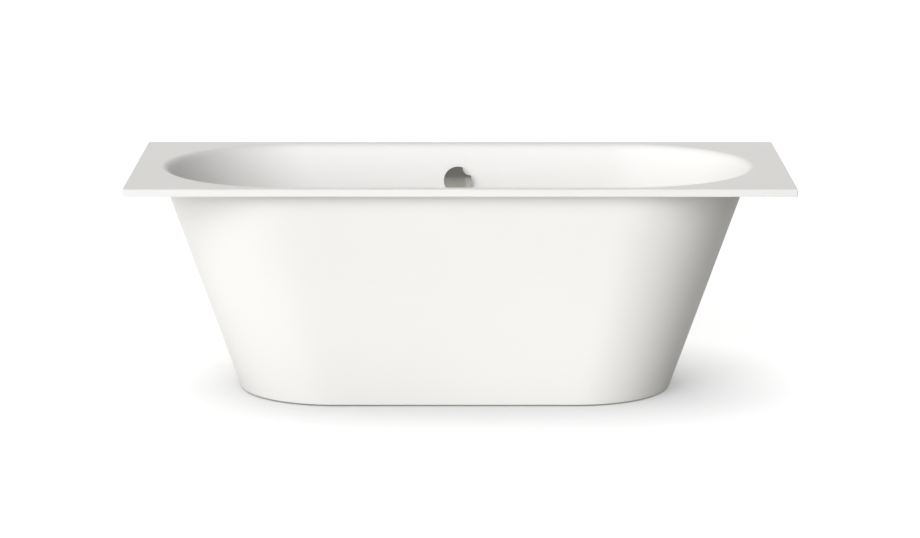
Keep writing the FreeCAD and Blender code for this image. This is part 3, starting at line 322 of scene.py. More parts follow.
acrylic = new_finish(
    "White acrylic", bump=0.05, depth=0.0003, colour=(0.8, 0.794, 0.78, 1), tone_spread=0.012,
    gloss=0.4, gloss_spread=0.12, cloud_scale=3.5, grain_scale=130)
acrylic.node_tree.nodes["Principled BSDF"].inputs["Specular IOR Level"].default_value = 0.2

# Back of the shell: resin with chopped glass strands, rolled on by hand while it is wet.
# It is seen from below and through the service opening.
glass_fibre = new_finish(
    "Glass fibre backing", bump=0.5, depth=0.0012, colour=(0.74, 0.72, 0.63, 1), tone_spread=0.16,
    gloss=0.42, gloss_spread=0.3, cloud_scale=14, grain_scale=220)
pale_strand = (0.86, 0.85, 0.78, 1)
tree = glass_fibre.node_tree
place = add_node(tree, "TexCoord").outputs["Object"]
streaks = []
for stretch in ((620, 60, 60), (60, 620, 60), (60, 60, 620)):
    turned_place = add_node(tree, "Mapping", {"Vector": place, "Rotation": (0.6, 0.4, 0.7), "Scale": stretch})
    streak = add_node(tree, "TexNoise", {"Vector": turned_place.outputs["Vector"], "Scale": 1, "Detail": 2})
    streaks.append(streak.outputs["Fac"])
crossed = add_node(tree, "Math", {0: streaks[0], 1: streaks[1]}, operation="MAXIMUM")
strands = add_node(tree, "Math", {0: crossed.outputs[0], 1: streaks[2]}, operation="MAXIMUM")
bundles = add_node(tree, "MapRange", {"Value": strands.outputs[0], "From Min": 0.5, "From Max": 0.75})
resin = tree.nodes["Skin"].outputs["Colour"]
stranded = mixed(tree, bundles.outputs["Result"], resin, pale_strand)
tree.links.new(stranded, tree.nodes["Principled BSDF"].inputs["Base Color"])
tree.links.new(bundles.outputs["Result"], tree.nodes["Relief"].inputs["Height"])

tub_shell = new_piece("tub_shell_skin", shell, acrylic, glass_fibre)
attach(tub_shell, "tub")
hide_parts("tub_shell")

# Deck boards and battens, and the base board: birch plywood laid into the wet laminate of the shell.
# They stiffen deck and floor and give the screws something to bite in.
plywood = new_finish(
    "Birch plywood", bump=0.35, depth=0.0004, colour=(0.66, 0.49, 0.31, 1), tone_spread=0.18,
    gloss=0.62, gloss_spread=0.2, cloud_scale=9, grain_scale=300)
dark_fibre = (0.5, 0.34, 0.19, 1)
glue_line = (0.37, 0.24, 0.13, 1)
tree = plywood.node_tree
place = add_node(tree, "TexCoord").outputs["Object"]
long_place = add_node(tree, "Mapping", {"Vector": place, "Scale": (6, 95, 95)})
fibres = add_node(tree, "TexNoise", {"Vector": long_place.outputs["Vector"], "Scale": 1, "Detail": 6,
                                     "Distortion": 0.6})
veneers = add_node(tree, "TexWave", {"Vector": place, "Scale": 105, "Distortion": 0.3, "Detail": 2},
                   bands_direction="Z")
facing = add_node(tree, "SeparateXYZ", {"Vector": add_node(tree, "NewGeometry").outputs["Normal"]})
upright = add_node(tree, "Math", {0: facing.outputs["Z"]}, operation="ABSOLUTE")
edge_only = add_node(tree, "Math", {0: upright.outputs[0], 1: 0.5}, operation="LESS_THAN")
layers = add_node(tree, "Math", {0: veneers.outputs["Fac"], 1: edge_only.outputs[0]}, operation="MULTIPLY")
streaks = add_node(tree, "MapRange", {"Value": fibres.outputs["Fac"], "From Min": 0.35, "From Max": 0.7})
grained = mixed(tree, streaks.outputs["Result"], tree.nodes["Skin"].outputs["Colour"], dark_fibre)
layered = mixed(tree, layers.outputs[0], grained, glue_line)
tree.links.new(layered, tree.nodes["Principled BSDF"].inputs["Base Color"])
tree.links.new(fibres.outputs["Fac"], tree.nodes["Relief"].inputs["Height"])


def dress(finish, *names):
    """Gives solids of the frame that keep their own shape their finish."""
    for name in names:
        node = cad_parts[name]
        node.data.materials.clear()
        node.data.materials.append(finish)


dress(plywood, "deck_board_left", "deck_board_right", "deck_batten_front", "deck_batten_rear", "base_board")

# Cross rails, wood screws and foot nuts: pressed and turned steel with a bright zinc plate.
# The rails are channels screwed under the base board; the nuts are welded into them.
zinc = new_finish(
    "Zinc plate", bump=0.12, depth=0.0002, metal=1, colour=(0.66, 0.67, 0.69, 1), tone_spread=0.1,
    gloss=0.3, gloss_spread=0.25, cloud_scale=40, grain_scale=700)
tree = zinc.node_tree
place = add_node(tree, "TexCoord").outputs["Object"]
flakes = add_node(tree, "TexVoronoi", {"Vector": place, "Scale": 130})
spangle = add_node(tree, "MapRange", {"Value": flakes.outputs["Color"], "To Min": 0.8, "To Max": 1.05})
plate = tree.nodes["Skin"].outputs["Colour"]
plated = add_node(tree, "VectorMath", {0: plate, "Scale": spangle.outputs["Result"]}, operation="SCALE")
tree.links.new(plated.outputs["Vector"], tree.nodes["Principled BSDF"].inputs["Base Color"])
dress(zinc, "cross_rail_left", "cross_rail_right", "rail_screws", "skirt_screws", "rail_nuts",
      "foot_lock_nuts")

# Levelling feet: a threaded steel stem with a spanner collar, turned into the rail nut from below,
# on a black plastic pad with a ribbed rim. Each foot is screwed in or out to level the bath.
foot_spread = (330, 205)
stem_radius = 6
stem_foot = 6
stem_top = 150
shank_top = 31
thread_foot = 30
thread_depth = 0.55
thread_pitch = 2.5
spanner_width = 17
collar_radius = spanner_width / 2 / math.cos(math.pi / 6)
collar_foot = 20
collar_top = 28
pad_radius = 26.5
pad_rim = 5
pad_neck = 12
pad_top = 16
pad_rib = 0.8
pad_ribs = 36
pad_plastic = new_finish(
    "Black pad plastic", bump=0.3, depth=0.0003, colour=(0.045, 0.045, 0.05, 1), tone_spread=0.25,
    gloss=0.55, gloss_spread=0.25, cloud_scale=60, grain_scale=900)


def eased(profile, radius):
    """Rounds the corners of a closed profile, as a mould or a turning tool leaves them."""
    most = 0.45
    soft = []
    for index, point in enumerate(profile):
        corner = Vector(point[:2])
        if corner.x == 0:
            soft.append(point)
            continue
        before = Vector(profile[index - 1][:2]) - corner
        after = Vector(profile[(index + 1) % len(profile)][:2]) - corner
        start = corner + before.normalized() * min(radius, before.length * most)
        end = corner + after.normalized() * min(radius, after.length * most)
        for share in (0, 0.3, 0.7, 1):
            soft.append((*start.lerp(corner, share).lerp(corner.lerp(end, share), share), *point[2:]))
    return soft


def sleeve(bore, radius, low, high):
    """Profile of a plain tube, or of a rod where the bore is 0."""
    return [(bore, low), (radius, low), (radius, high), (bore, high)]


def around(reach, angle, height):
    """A point at a distance and an angle from an axis, and a height along it."""
    return Vector((reach * math.cos(angle), reach * math.sin(angle), height))


def turn(skin, profile, place, steps=64, ribs=0):
    """Turns a closed profile of (radius, height) points;
    a third number is how far ribs stand out there."""
    rings = []
    for radius, height, *rib in profile:
        count = steps if radius else 1
        ring = []
        for index in range(count):
            angle = math.tau * index / steps
            reach = radius + (rib[0] * max(0, math.cos(ribs * angle)) if rib else 0)
            ring.append(skin.verts.new(place @ around(reach, angle, height)))
        rings.append(ring)
    for first, second in zip(rings, rings[1:] + rings[:1]):
        if len(first) + len(second) > 2:
            for index in range(steps):
                after = index + 1
                corners = [first[index % len(first)], first[after % len(first)],
                           second[after % len(second)], second[index % len(second)]]
                skin.faces.new(dict.fromkeys(corners))


def close_rod(skin, rings):
    """Closes a rod drawn as rings, with its two ends."""
    bridge_all(skin, rings)
    skin.faces.new(rings[0])
    skin.faces.new(rings[-1])


def thread(skin, radius, low, high, place, steps=20, rows_per_turn=4):
    """A rod with a single-start screw thread."""
    rows = round((high - low) / thread_pitch * rows_per_turn)
    rings = []
    for row in range(rows + 1):
        height = low + (high - low) * row / rows
        ring = []
        for index in range(steps):
            phase = (height / thread_pitch - index / steps) % 1
            reach = radius - thread_depth * abs(2 * phase - 1)
            ring.append(skin.verts.new(place @ around(reach, math.tau * index / steps, height)))
        rings.append(ring)
    close_rod(skin, rings)


shank_profile = sleeve(0, stem_radius, stem_foot, shank_top)
collar_profile = eased(sleeve(0, collar_radius, collar_foot, collar_top), radius=0.8)
pad_profile = eased([(0, 0), (pad_radius, 0, pad_rib), (pad_radius, pad_rim, pad_rib), (pad_neck, pad_top),
                     (stem_radius, pad_top), (stem_radius, stem_foot), (0, stem_foot)], radius=1.2)
foot_places = {}
for side, way in (("left", -1), ("right", 1)):
    x = bowl["middle"] + way * foot_spread[0]
    foot_places[f"front_{side}"] = (x, -foot_spread[1])
    foot_places[f"rear_{side}"] = (x, foot_spread[1])
for corner, (x, y) in foot_places.items():
    place = Matrix.Translation((x, y, 0))
    rod = bmesh.new()
    turn(rod, shank_profile, place, steps=32)
    turn(rod, collar_profile, place, steps=6)
    thread(rod, stem_radius, thread_foot, stem_top, place)
    stem = new_piece(f"foot_stem_{corner}_threaded", rod, zinc)
    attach(stem, f"foot_{corner}")
    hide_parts(f"foot_stem_{corner}")
    disc = bmesh.new()
    turn(disc, pad_profile, place, steps=pad_ribs * 4, ribs=pad_ribs)
    pad = new_piece(f"foot_pad_{corner}_ribbed", disc, pad_plastic)
    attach(pad, f"foot_{corner}")
    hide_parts(f"foot_pad_{corner}")

# Waste in the floor: a chromed brass flange between two rubber gaskets, screwed into the waste body.
# Four spokes inside it carry the guide of the plug stem.
flange_bore = 22
flange_tube = 25
flange_rim = 36.5
flange_foot = 117
flange_seat = 147
funnel_radius = 27.5
funnel_top = 149.4
funnel_foot = 145.4
guide_bore = 4.3
guide_radius = 8
guide_top = 123
spoke_start = 7.5
spoke_end = 23
spoke_half = 2
over_waste = Matrix.Translation((bowl["middle"], 0, 0))
chrome = new_finish(
    "Polished chrome", bump=0.02, depth=0.0001, metal=1, colour=(0.79, 0.79, 0.785, 1), tone_spread=0.03,
    gloss=0.07, gloss_spread=0.06, cloud_scale=55, grain_scale=260)
rubber = new_finish(
    "Black rubber", bump=0.35, depth=0.0003, colour=(0.03, 0.03, 0.031, 1), tone_spread=0.3,
    gloss=0.7, gloss_spread=0.2, cloud_scale=70, grain_scale=1100)
brass = new_finish(
    "Turned brass", bump=0.15, depth=0.0002, metal=1, colour=(0.72, 0.56, 0.27, 1), tone_spread=0.16,
    gloss=0.32, gloss_spread=0.25, cloud_scale=45, grain_scale=800)
dress(rubber, "waste_gasket_upper", "waste_gasket_lower", "plug_seal", "trap_seal", "outlet_seal",
      "overflow_gasket")


def add_bar(skin, low, high, place):
    """A plain straight bar between two corners."""
    middle = (Vector(low) + Vector(high)) / 2
    size = Vector(high) - Vector(low)
    bmesh.ops.create_cube(skin, size=1, matrix=place @ Matrix.LocRotScale(middle, None, size))


flange = bmesh.new()
flange_profile = [(flange_bore, flange_foot), (flange_tube, flange_foot), (flange_tube, flange_seat),
                  (flange_rim, flange_seat), (flange_rim, bowl_floor), (funnel_radius, funnel_top),
                  (flange_bore, funnel_foot)]
guide_profile = sleeve(guide_bore, guide_radius, flange_foot, guide_top)
turn(flange, eased(flange_profile, radius=0.9), over_waste, steps=96)
turn(flange, eased(guide_profile, radius=0.5), over_waste, steps=40)
for spoke in range(4):
    add_bar(flange, (spoke_start, -spoke_half, flange_foot), (spoke_end, spoke_half, guide_top),
            over_waste @ Matrix.Rotation(quarter * spoke, 4, "Z"))
waste_flange = new_piece("waste_flange_chromed", flange, chrome)
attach(waste_flange, "tub")
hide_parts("waste_flange")

# Plug: a domed chrome cap with a rubber seal on a brass stem; it covers the waste flange
# and rises 10 mm when the knob is turned.
cap_radius = 32
cap_foot = 151
cap_edge = 153.2
cap_rise = 4.3
hub_radius = 18
hub_foot = 147.5
cap_hem = [(0.8, 0), (0.2, 0.3), (0, 1)]
cap_profile = [(0, hub_foot), (hub_radius, hub_foot), (hub_radius, cap_foot)]
cap_profile += [(cap_radius - inset, cap_foot + rise) for inset, rise in cap_hem]
for angle in range(0, 90, 6):
    cap_profile.append((cap_radius * math.cos(math.radians(angle)),
                        cap_edge + cap_rise * math.sin(math.radians(angle))))
cap_profile.append((0, cap_edge + cap_rise))
cap = bmesh.new()
turn(cap, cap_profile, over_waste, steps=96)
plug_cap = new_piece("plug_cap_domed", cap, chrome)
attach(plug_cap, "plug")
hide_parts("plug_cap")
dress(brass, "plug_stem")

# Waste body: injection-moulded white plastic, screwed up under the floor with a ribbed ring.
# It takes the overflow and the cable gland at its rear and dips into the trap cup below it.
body_top = 137
body_foot = 87
body_radius = 40
body_wall = 4
neck_foot = 125
body_ring = 43.2
body_ring_foot = 131
dip_radius = 19
dip_bore = 16.5
dip_foot = 21
fitting_rib = 0.8
fitting_ribs = 48
pipe_bore = 12
pipe_radius = 14
pipe_socket = 16.5
inlet_height = 112
inlet_start = 34
inlet_seat = 64
inlet_mouth = 78
gland_bore = 2.5
gland_radius = 5
gland_side = 22.5
gland_drop = 4
inlet_gland_start = 26
inlet_gland_end = 48
white_plastic = new_finish(
    "White fitting plastic", bump=0.2, depth=0.0002, colour=(0.8, 0.8, 0.775, 1), tone_spread=0.05,
    gloss=0.42, gloss_spread=0.2, cloud_scale=30, grain_scale=900)
grey_plastic = new_finish(
    "Grey fitting plastic", bump=0.22, depth=0.0002, colour=(0.34, 0.35, 0.36, 1), tone_spread=0.12,
    gloss=0.45, gloss_spread=0.2, cloud_scale=35, grain_scale=900)


def to_wall(height):
    """Along a level axis from the waste towards the wall."""
    return Matrix.Translation((bowl["middle"], 0, height)) @ Matrix.Rotation(-quarter, 4, "X")


def socket(bore, tube, radius, start, seat, mouth):
    """Profile of a pipe socket: the tube goes in at the mouth as far as the seat."""
    return [(bore, start), (radius, start), (radius, mouth), (tube, mouth), (tube, seat), (bore, seat)]


inlet = to_wall(inlet_height)
inlet_gland = inlet @ Matrix.Translation((gland_side, gland_drop, 0))
body_inside = body_radius - body_wall
body_profile = [(flange_tube, body_top), (body_ring, body_top, fitting_rib),
                (body_ring, body_ring_foot, fitting_rib), (body_radius, body_ring_foot),
                (body_radius, body_foot), (dip_radius, body_foot), (dip_radius, dip_foot),
                (dip_bore, dip_foot), (dip_bore, body_foot + body_wall), (body_inside, body_foot + body_wall),
                (body_inside, neck_foot), (flange_tube, neck_foot)]
inlet_profile = socket(pipe_bore, pipe_radius, pipe_socket, inlet_start, inlet_seat, inlet_mouth)
inlet_gland_profile = sleeve(gland_bore, gland_radius, inlet_gland_start, inlet_gland_end)
chamber = bmesh.new()
turn(chamber, eased(body_profile, radius=1), over_waste, steps=fitting_ribs * 4, ribs=fitting_ribs)
turn(chamber, eased(inlet_profile, radius=0.6), inlet)
turn(chamber, eased(inlet_gland_profile, radius=0.5), inlet_gland, steps=32)
waste_body = new_piece("waste_body_moulded", chamber, white_plastic)
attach(waste_body, "tub")
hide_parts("waste_body")

# Trap cup: the same white plastic, screwed on from below with its ribbed ring and holding the water
# that keeps drain air out. Its socket at the rear takes the outlet pipe.
cup_foot = 12
cup_inside = 15
cup_shoulder = 84
cup_radius = 40
cup_bore = 36.5
cup_slant = 6
cup_ring = 42.8
cup_ring_foot = 77
cup_ring_top = 94
cup_rib = 1.2
cup_ribs = 32
outlet_height = 60
outlet_bore = 17.5
outlet_radius = 19.5
outlet_socket = 23
outlet_start = 35
outlet_seat = 46
outlet_mouth = 66
outlet = to_wall(outlet_height)
cup_profile = [(0, cup_foot), (cup_radius - cup_slant, cup_foot), (cup_radius, cup_foot + cup_slant),
               (cup_radius, cup_ring_foot), (cup_ring, cup_ring_foot, cup_rib),
               (cup_ring, cup_ring_top, cup_rib), (cup_radius, cup_ring_top), (cup_radius, cup_shoulder),
               (cup_bore, cup_shoulder), (cup_bore, cup_inside + cup_slant),
               (cup_bore - cup_slant, cup_inside), (0, cup_inside)]
outlet_profile = socket(outlet_bore, outlet_radius, outlet_socket, outlet_start, outlet_seat, outlet_mouth)
cup = bmesh.new()
turn(cup, eased(cup_profile, radius=1.2), over_waste, steps=cup_ribs * 6, ribs=cup_ribs)
turn(cup, eased(outlet_profile, radius=0.7), outlet)
trap_cup = new_piece("trap_cup_moulded", cup, white_plastic)
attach(trap_cup, "tub")
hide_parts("trap_cup")

# Outlet pipe with its union nut: a plain white drain tube of 40 mm, its free end ready for a sleeve.
# The ribbed grey nut squeezes a rubber ring between tube and trap; the overflow pipe has the same.
spigot_radius = 20
spigot_start = 280
outlet_end = 330
outlet_nut = {"socket": outlet_socket, "tube": outlet_radius, "grip": 25.9, "rib": 1.6, "ribs": 20,
              "grip_length": 17, "seat": 17, "length": 22}
outlet_nut_start = 53
pipe_nut = {"socket": pipe_socket, "tube": pipe_radius, "grip": 18.3, "rib": 1.2, "ribs": 18,
            "grip_length": 15, "seat": 10, "length": 18}
lower_nut_start = 68
tube_profile = [(outlet_bore, outlet_seat), (outlet_radius, outlet_seat), (outlet_radius, spigot_start),
                (spigot_radius, spigot_start), (spigot_radius, outlet_end), (outlet_bore, outlet_end)]
tube = bmesh.new()
turn(tube, eased(tube_profile, radius=0.5), outlet, steps=80)
outlet_pipe = new_piece("outlet_pipe_drawn", tube, white_plastic)
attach(outlet_pipe, "tub")
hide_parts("outlet_pipe")


def union_nut(node, place, start, size):
    """A ribbed grey nut that stands for its plain solid; start is its place along the axis."""
    grip_end = start + size["grip_length"]
    seat = start + size["seat"]
    end = start + size["length"]
    profile = [(size["socket"], start), (size["grip"], start, size["rib"]),
               (size["grip"], grip_end, size["rib"]), (size["grip"], end),
               (size["tube"], end), (size["tube"], seat), (size["socket"], seat)]
    nut = bmesh.new()
    turn(nut, eased(profile, radius=0.8), place, steps=size["ribs"] * 6, ribs=size["ribs"])
    piece = new_piece(f"{node}_ribbed", nut, grey_plastic)
    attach(piece, "tub")
    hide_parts(node)


union_nut("outlet_nut", outlet, outlet_nut_start, outlet_nut)
union_nut("overflow_nut_lower", inlet, lower_nut_start, pipe_nut)

# Overflow body behind the rear wall: moulded white plastic on a rubber ring, clamped by the flange
# in the bowl. A socket for the pipe and a gland for the cable point down along the wall.
housing_bore = 25
housing_radius = 34
housing_wall = 3
housing_rim = 41.2
housing_front = -8
housing_rim_back = -12
housing_step = -13
housing_back = -44
drain_depth = 26
drain_start = 29
drain_seat = 48
drain_mouth = 62
drain_gland_start = 21
drain_gland_end = 46
upper_nut_start = 52
overflow = Matrix.Translation(overflow_at) @ Matrix.Rotation(quarter - rear_lean, 4, "X")
down_the_wall = overflow @ Matrix.Translation((0, 0, -drain_depth)) @ Matrix.Rotation(quarter, 4, "X")
drain_gland = down_the_wall @ Matrix.Translation((gland_side, 0, 0))
housing_inside = housing_radius - housing_wall
housing_end = housing_back + housing_wall
housing_profile = [(housing_bore, housing_front), (housing_rim, housing_front, fitting_rib),
                   (housing_rim, housing_rim_back, fitting_rib), (housing_radius, housing_rim_back),
                   (housing_radius, housing_back), (0, housing_back), (0, housing_end),
                   (housing_inside, housing_end), (housing_inside, housing_step),
                   (housing_bore, housing_step)]
drain_profile = socket(pipe_bore, pipe_radius, pipe_socket, drain_start, drain_seat, drain_mouth)
drain_gland_profile = sleeve(gland_bore, gland_radius, drain_gland_start, drain_gland_end)
housing = bmesh.new()
turn(housing, eased(housing_profile, radius=1), overflow, steps=fitting_ribs * 4, ribs=fitting_ribs)
turn(housing, eased(drain_profile, radius=0.6), down_the_wall)
turn(housing, eased(drain_gland_profile, radius=0.5), drain_gland, steps=32)
overflow_body = new_piece("overflow_body_moulded", housing, white_plastic)
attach(overflow_body, "tub")
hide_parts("overflow_body")
dress(white_plastic, "overflow_flange")
union_nut("overflow_nut_upper", down_the_wall, upper_nut_start, pipe_nut)

# Overflow pipe and the sheathed cable beside it: both run down along the bowl, bend under it
# and end in the waste body. Two clips tie the cable to the pipe.
pipe_bend = 70
end_hold = 2
cable_radius = 2.4
cable_upper_end = 36
cable_lower_end = 38
ferrule = [(2.2, 0), (3.6, 0), (3.6, 3), (3.2, 3.4), (3.6, 4), (3.6, 10), (2.9, 14), (2.2, 14)]
cable_sheath = new_finish(
    "Black cable sheath", bump=0.25, depth=0.0002, colour=(0.035, 0.035, 0.04, 1), tone_spread=0.2,
    gloss=0.4, gloss_spread=0.2, cloud_scale=90, grain_scale=1300)


def run_down(low, upper_end, lower_end):
    """Path in the plane of the pipe, as (distance to the wall, height),
    from the waste up to the overflow."""
    top = overflow_at + wall_out * drain_depth
    knee = top.y - (top.z - low) * math.tan(rear_lean)
    setback = pipe_bend * (1 - wall_up.y) / wall_up.z
    end = top - wall_up * upper_end
    path = [(lower_end, low), (lower_end + end_hold, low)]
    path += arc((knee - setback, low + pipe_bend), pipe_bend, -quarter, -rear_lean, 24)
    path.append((end.y, end.z))
    return path


def sweep(skin, path, radius, x, steps):
    """A round rod along a path that lies upright at one x."""
    rings = []
    for index, (y, z) in enumerate(path):
        ahead = Vector(path[min(index + 1, len(path) - 1)]) - Vector(path[max(index - 1, 0)])
        side = Vector((0, -ahead.y, ahead.x)).normalized()
        rings.append(add_ring(skin, circle((x, y, z), radius, up=side, steps=steps)))
    close_rod(skin, rings)


pipe = bmesh.new()
sweep(pipe, run_down(inlet_height, drain_seat, inlet_seat), pipe_radius, bowl["middle"], steps=56)
overflow_pipe = new_piece("overflow_pipe_bent", pipe, grey_plastic)
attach(overflow_pipe, "tub")
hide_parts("overflow_pipe")
cable = bmesh.new()
cable_path = run_down(inlet_height - gland_drop, cable_upper_end, cable_lower_end)
sweep(cable, cable_path, cable_radius, bowl["middle"] + gland_side, steps=24)
for place, end in ((drain_gland, drain_gland_end), (inlet_gland, inlet_gland_end)):
    turn(cable, [(radius, end + height) for radius, height in eased(ferrule, radius=0.3)], place, steps=32)
bowden_cable = new_piece("bowden_cable_sheathed", cable, cable_sheath)
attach(bowden_cable, "tub")
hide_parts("bowden_cable")
dress(grey_plastic, "cable_clips", "lift_lever")

# Overflow knob: a thick chrome disc with one finger notch, on a brass spindle through the flange.
# Turning it winds the cable and lifts the plug; water escapes round its edge.
knob_radius = 38
knob_back = 10
knob_front = 21
knob_dome = 1.2
knob_back_edge = 1
knob_edge = 0.8
knob_steps = 120
edge_steps = 5
face_shares = (0.985, 0.94, 0.85, 0.72, 0.56, 0.38, 0.2)
notch_radius = 18
notch_reach = 46
notch_way = math.radians(45)
notch_steps = 24
tip_round = 3.2
knob_hub_bore = 4
knob_hub_radius = 9
knob_hub_back = 7
knob_hub_front = 12


def flat_point(reach, angle):
    """A point of the knob's outline at a distance and an angle."""
    return Vector((math.cos(angle), math.sin(angle))) * reach


def knob_outline(inset):
    """Disc with the notch taken out, drawn in by an inset; the two tips are rounded."""
    rim = knob_radius - inset
    bite = notch_radius + inset
    tip = math.acos((rim ** 2 + notch_reach ** 2 - bite ** 2) / (2 * rim * notch_reach))
    mouth = math.acos((bite ** 2 + notch_reach ** 2 - rim ** 2) / (2 * bite * notch_reach))
    middle = flat_point(notch_reach, notch_way)
    rim_start = tip + tip_round / rim
    points = []
    for index in range(knob_steps + 1):
        angle = notch_way + rim_start + (math.tau - 2 * rim_start) * index / knob_steps
        points.append(flat_point(rim, angle))
    bite_start = mouth - tip_round / bite
    hollow = []
    for index in range(notch_steps + 1):
        angle = notch_way + math.pi + bite_start * (1 - 2 * index / notch_steps)
        hollow.append(middle + flat_point(bite, angle))
    for side, start, end in ((-1, points[-1], hollow[0]), (1, hollow[-1], points[0])):
        corner = flat_point(rim, notch_way + side * tip)
        tips = [start.lerp(corner, share).lerp(corner.lerp(end, share), share) for share in (0.25, 0.5, 0.75)]
        hollow = tips + hollow if side < 0 else hollow + tips
    return points + hollow


def knob_face(radius):
    """Height of the domed face above the flange, at a distance from the axis."""
    return knob_front + knob_dome * max(0, 1 - (radius / (knob_radius - knob_edge)) ** 2)


def knob_ring(skin, inset, height):
    """The outline, drawn in by an inset, at one height."""
    return add_ring(skin, [overflow @ Vector((*point, height)) for point in knob_outline(inset)])


disc = bmesh.new()
knob_rings = []
bends = [quarter * step / edge_steps for step in range(edge_steps + 1)]
for bend in bends[::-1]:
    inset = knob_back_edge * (1 - math.cos(bend))
    knob_rings.append(knob_ring(disc, inset, knob_back + knob_back_edge * (1 - math.sin(bend))))
for bend in bends:
    inset = knob_edge * (1 - math.cos(bend))
    knob_rings.append(knob_ring(disc, inset, knob_front - knob_edge * (1 - math.sin(bend))))
for share in face_shares:
    drawn_in = [point * share for point in knob_outline(knob_edge)]
    domed = [Vector((*point, knob_face(point.length))) for point in drawn_in]
    knob_rings.append(add_ring(disc, [overflow @ point for point in domed]))
bridge_all(disc, knob_rings)
centre = disc.verts.new(overflow @ Vector((0, 0, knob_face(0))))
for first, second in zip(knob_rings[-1], knob_rings[-1][1:] + knob_rings[-1][:1]):
    disc.faces.new((first, second, centre))
disc.faces.new(knob_rings[0])
knob_hub_profile = sleeve(knob_hub_bore, knob_hub_radius, knob_hub_back, knob_hub_front)
turn(disc, eased(knob_hub_profile, radius=0.6), overflow, steps=48)
overflow_knob = new_piece("overflow_knob_polished", disc, chrome)
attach(overflow_knob, "overflow_knob_body")
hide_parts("overflow_knob")
dress(brass, "overflow_spindle")

# Skirt: one seamless tapering wall of the same white acrylic, bonded and screwed up into the deck edge.
# It stops 4 mm above the floor; the rear has a service opening for waste, pipe and overflow.
skirt_foot = 4
skirt_wall = 4
skirt_form = {"middle": -13, "top": deck_foot, "drop": deck_foot - skirt_foot, "straight": 432.04,
              "straight_in": 119, "radius": 337, "radius_in": 82}
skirt_levels = (568, 480, 390, 290, 190, 100, 9)
skirt_hem = [(0, 5.2), (-0.3, 4.3), (-1.1, skirt_foot)]
window_half = (150, 259.5)
window_corner = 40
window_middle = 285.5
lip_half = (844.5, 369.5)
lip_corner = 0.4
lip_top = 575
end_screw_x = 815
end_screw_y = 340
side_screw_step = 301.95
side_screw_y = 361.7
sink_radius = 4.6
sink_top = 573

outside = [(0, deck_foot)] + [(0, z) for z in skirt_levels] + skirt_hem
inside = [(-skirt_wall - offset, z) for offset, z in outside[:0:-1]] + [(-skirt_wall, lip_top)]
skirt = bmesh.new()
rings = [add_ring(skirt, [stadium_point(skirt_form, side, angle, offset, z) for side, angle in stadium])
         for offset, z in outside + inside]
outer_wall = range(1, len(skirt_levels) + 1)
inner_wall = range(len(outside) + len(skirt_hem), len(rings) - 1)
for level, (upper, lower) in enumerate(zip(rings, rings[1:])):
    on_wall = level in outer_wall[:-1] or level in inner_wall[:-1]
    bridge(skirt, upper, lower, int(level >= len(outside)), skip=(rear_straight,) if on_wall else ())
windows = []
for finish, offset, levels in ((0, 0, outer_wall), (1, -skirt_wall, inner_wall)):
    outline = []
    for point in rectangle(*window_half, window_corner, 0, steps=12):
        height = window_middle + point[1]
        y = stadium_point(skirt_form, 0, quarter, offset, height)[1]
        outline.append((bowl["middle"] + point[0], y, height))
    window = add_ring(skirt, outline)
    fill_rear(skirt, [rings[level] for level in levels], window, finish)
    windows.append(window)
bridge(skirt, *windows)
lip_under = add_ring(skirt, rectangle(*lip_half, lip_corner, deck_foot))
lip_over = add_ring(skirt, rectangle(*lip_half, lip_corner, lip_top))
bridge(skirt, lip_under, lip_over)
fill(skirt, lip_over, rings[-1], finish=1)
screw_places = [(x, y) for x in (-end_screw_x, end_screw_x) for y in (-end_screw_y, 0, end_screw_y)]
for step in (-1, 0, 1):
    x = bowl["middle"] + step * side_screw_step
    screw_places += [(x, -side_screw_y), (x, side_screw_y)]
sinks = [add_ring(skirt, circle((x, y, deck_foot), sink_radius, steps=24)) for x, y in screw_places]
fill(skirt, lip_under, rings[0], *sinks)
for (x, y), sink in zip(screw_places, sinks):
    seat = add_ring(skirt, circle((x, y, sink_top), sink_radius, steps=24))
    bridge(skirt, sink, seat)
    skirt.faces.new(seat)
outer_skirt = new_piece("outer_skirt_skin", skirt, acrylic, glass_fibre)
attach(outer_skirt, "tub")
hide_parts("outer_skirt")

# Studio floor: white and without an edge; the bath's soft shadow on it is partly real and partly painted, as
# ambient occlusion dims its glow.
# Pale boards lie on it that the camera doesn't see; they light the skirt from below.
# Lengths of the studio are in metres.
floor_half = 40
shadow_reach = 0.38
boards = [{"middle": (-2, -0.2, 0), "edge": 1.9, "core": 0.3, "colour": (1.4, 1.39, 1.36)},
          {"middle": (0.32, -1.2, 0), "edge": 1.7, "core": 0.2, "colour": (0.84, 0.815, 0.755)},
          {"middle": (-0.2, 1.6, 0), "edge": 1.5, "core": 0.3, "colour": (0.85, 0.835, 0.8)}]
studio_floor = bpy.data.materials.new("Studio floor")
studio_floor.use_nodes = True
tree = studio_floor.node_tree
tree.nodes.remove(tree.nodes["Principled BSDF"])


def background_rays(tree):
    """Rays that look at the backdrop: straight from the camera, mirrored or through glass."""
    ray = add_node(tree, "LightPath").outputs
    seen = add_node(tree, "Math", {0: ray["Is Camera Ray"], 1: ray["Is Glossy Ray"]}, operation="MAXIMUM")
    seen = add_node(tree, "Math", {0: seen.outputs[0], 1: ray["Is Transmission Ray"]}, operation="MAXIMUM")
    return seen.outputs[0]


def soft_light(tree, reach, lamp, light):
    """The light so far and a lamp with a soft edge, which is full where reach passes its core."""
    share = add_node(tree, "MapRange", {"Value": reach, "From Min": lamp["edge"], "From Max": lamp["core"]},
                     interpolation_type="SMOOTHSTEP")
    return add_node(tree, "VectorMath", {0: lamp["colour"], 1: share.outputs["Result"], 2: light},
                    operation="MULTIPLY_ADD").outputs["Vector"]
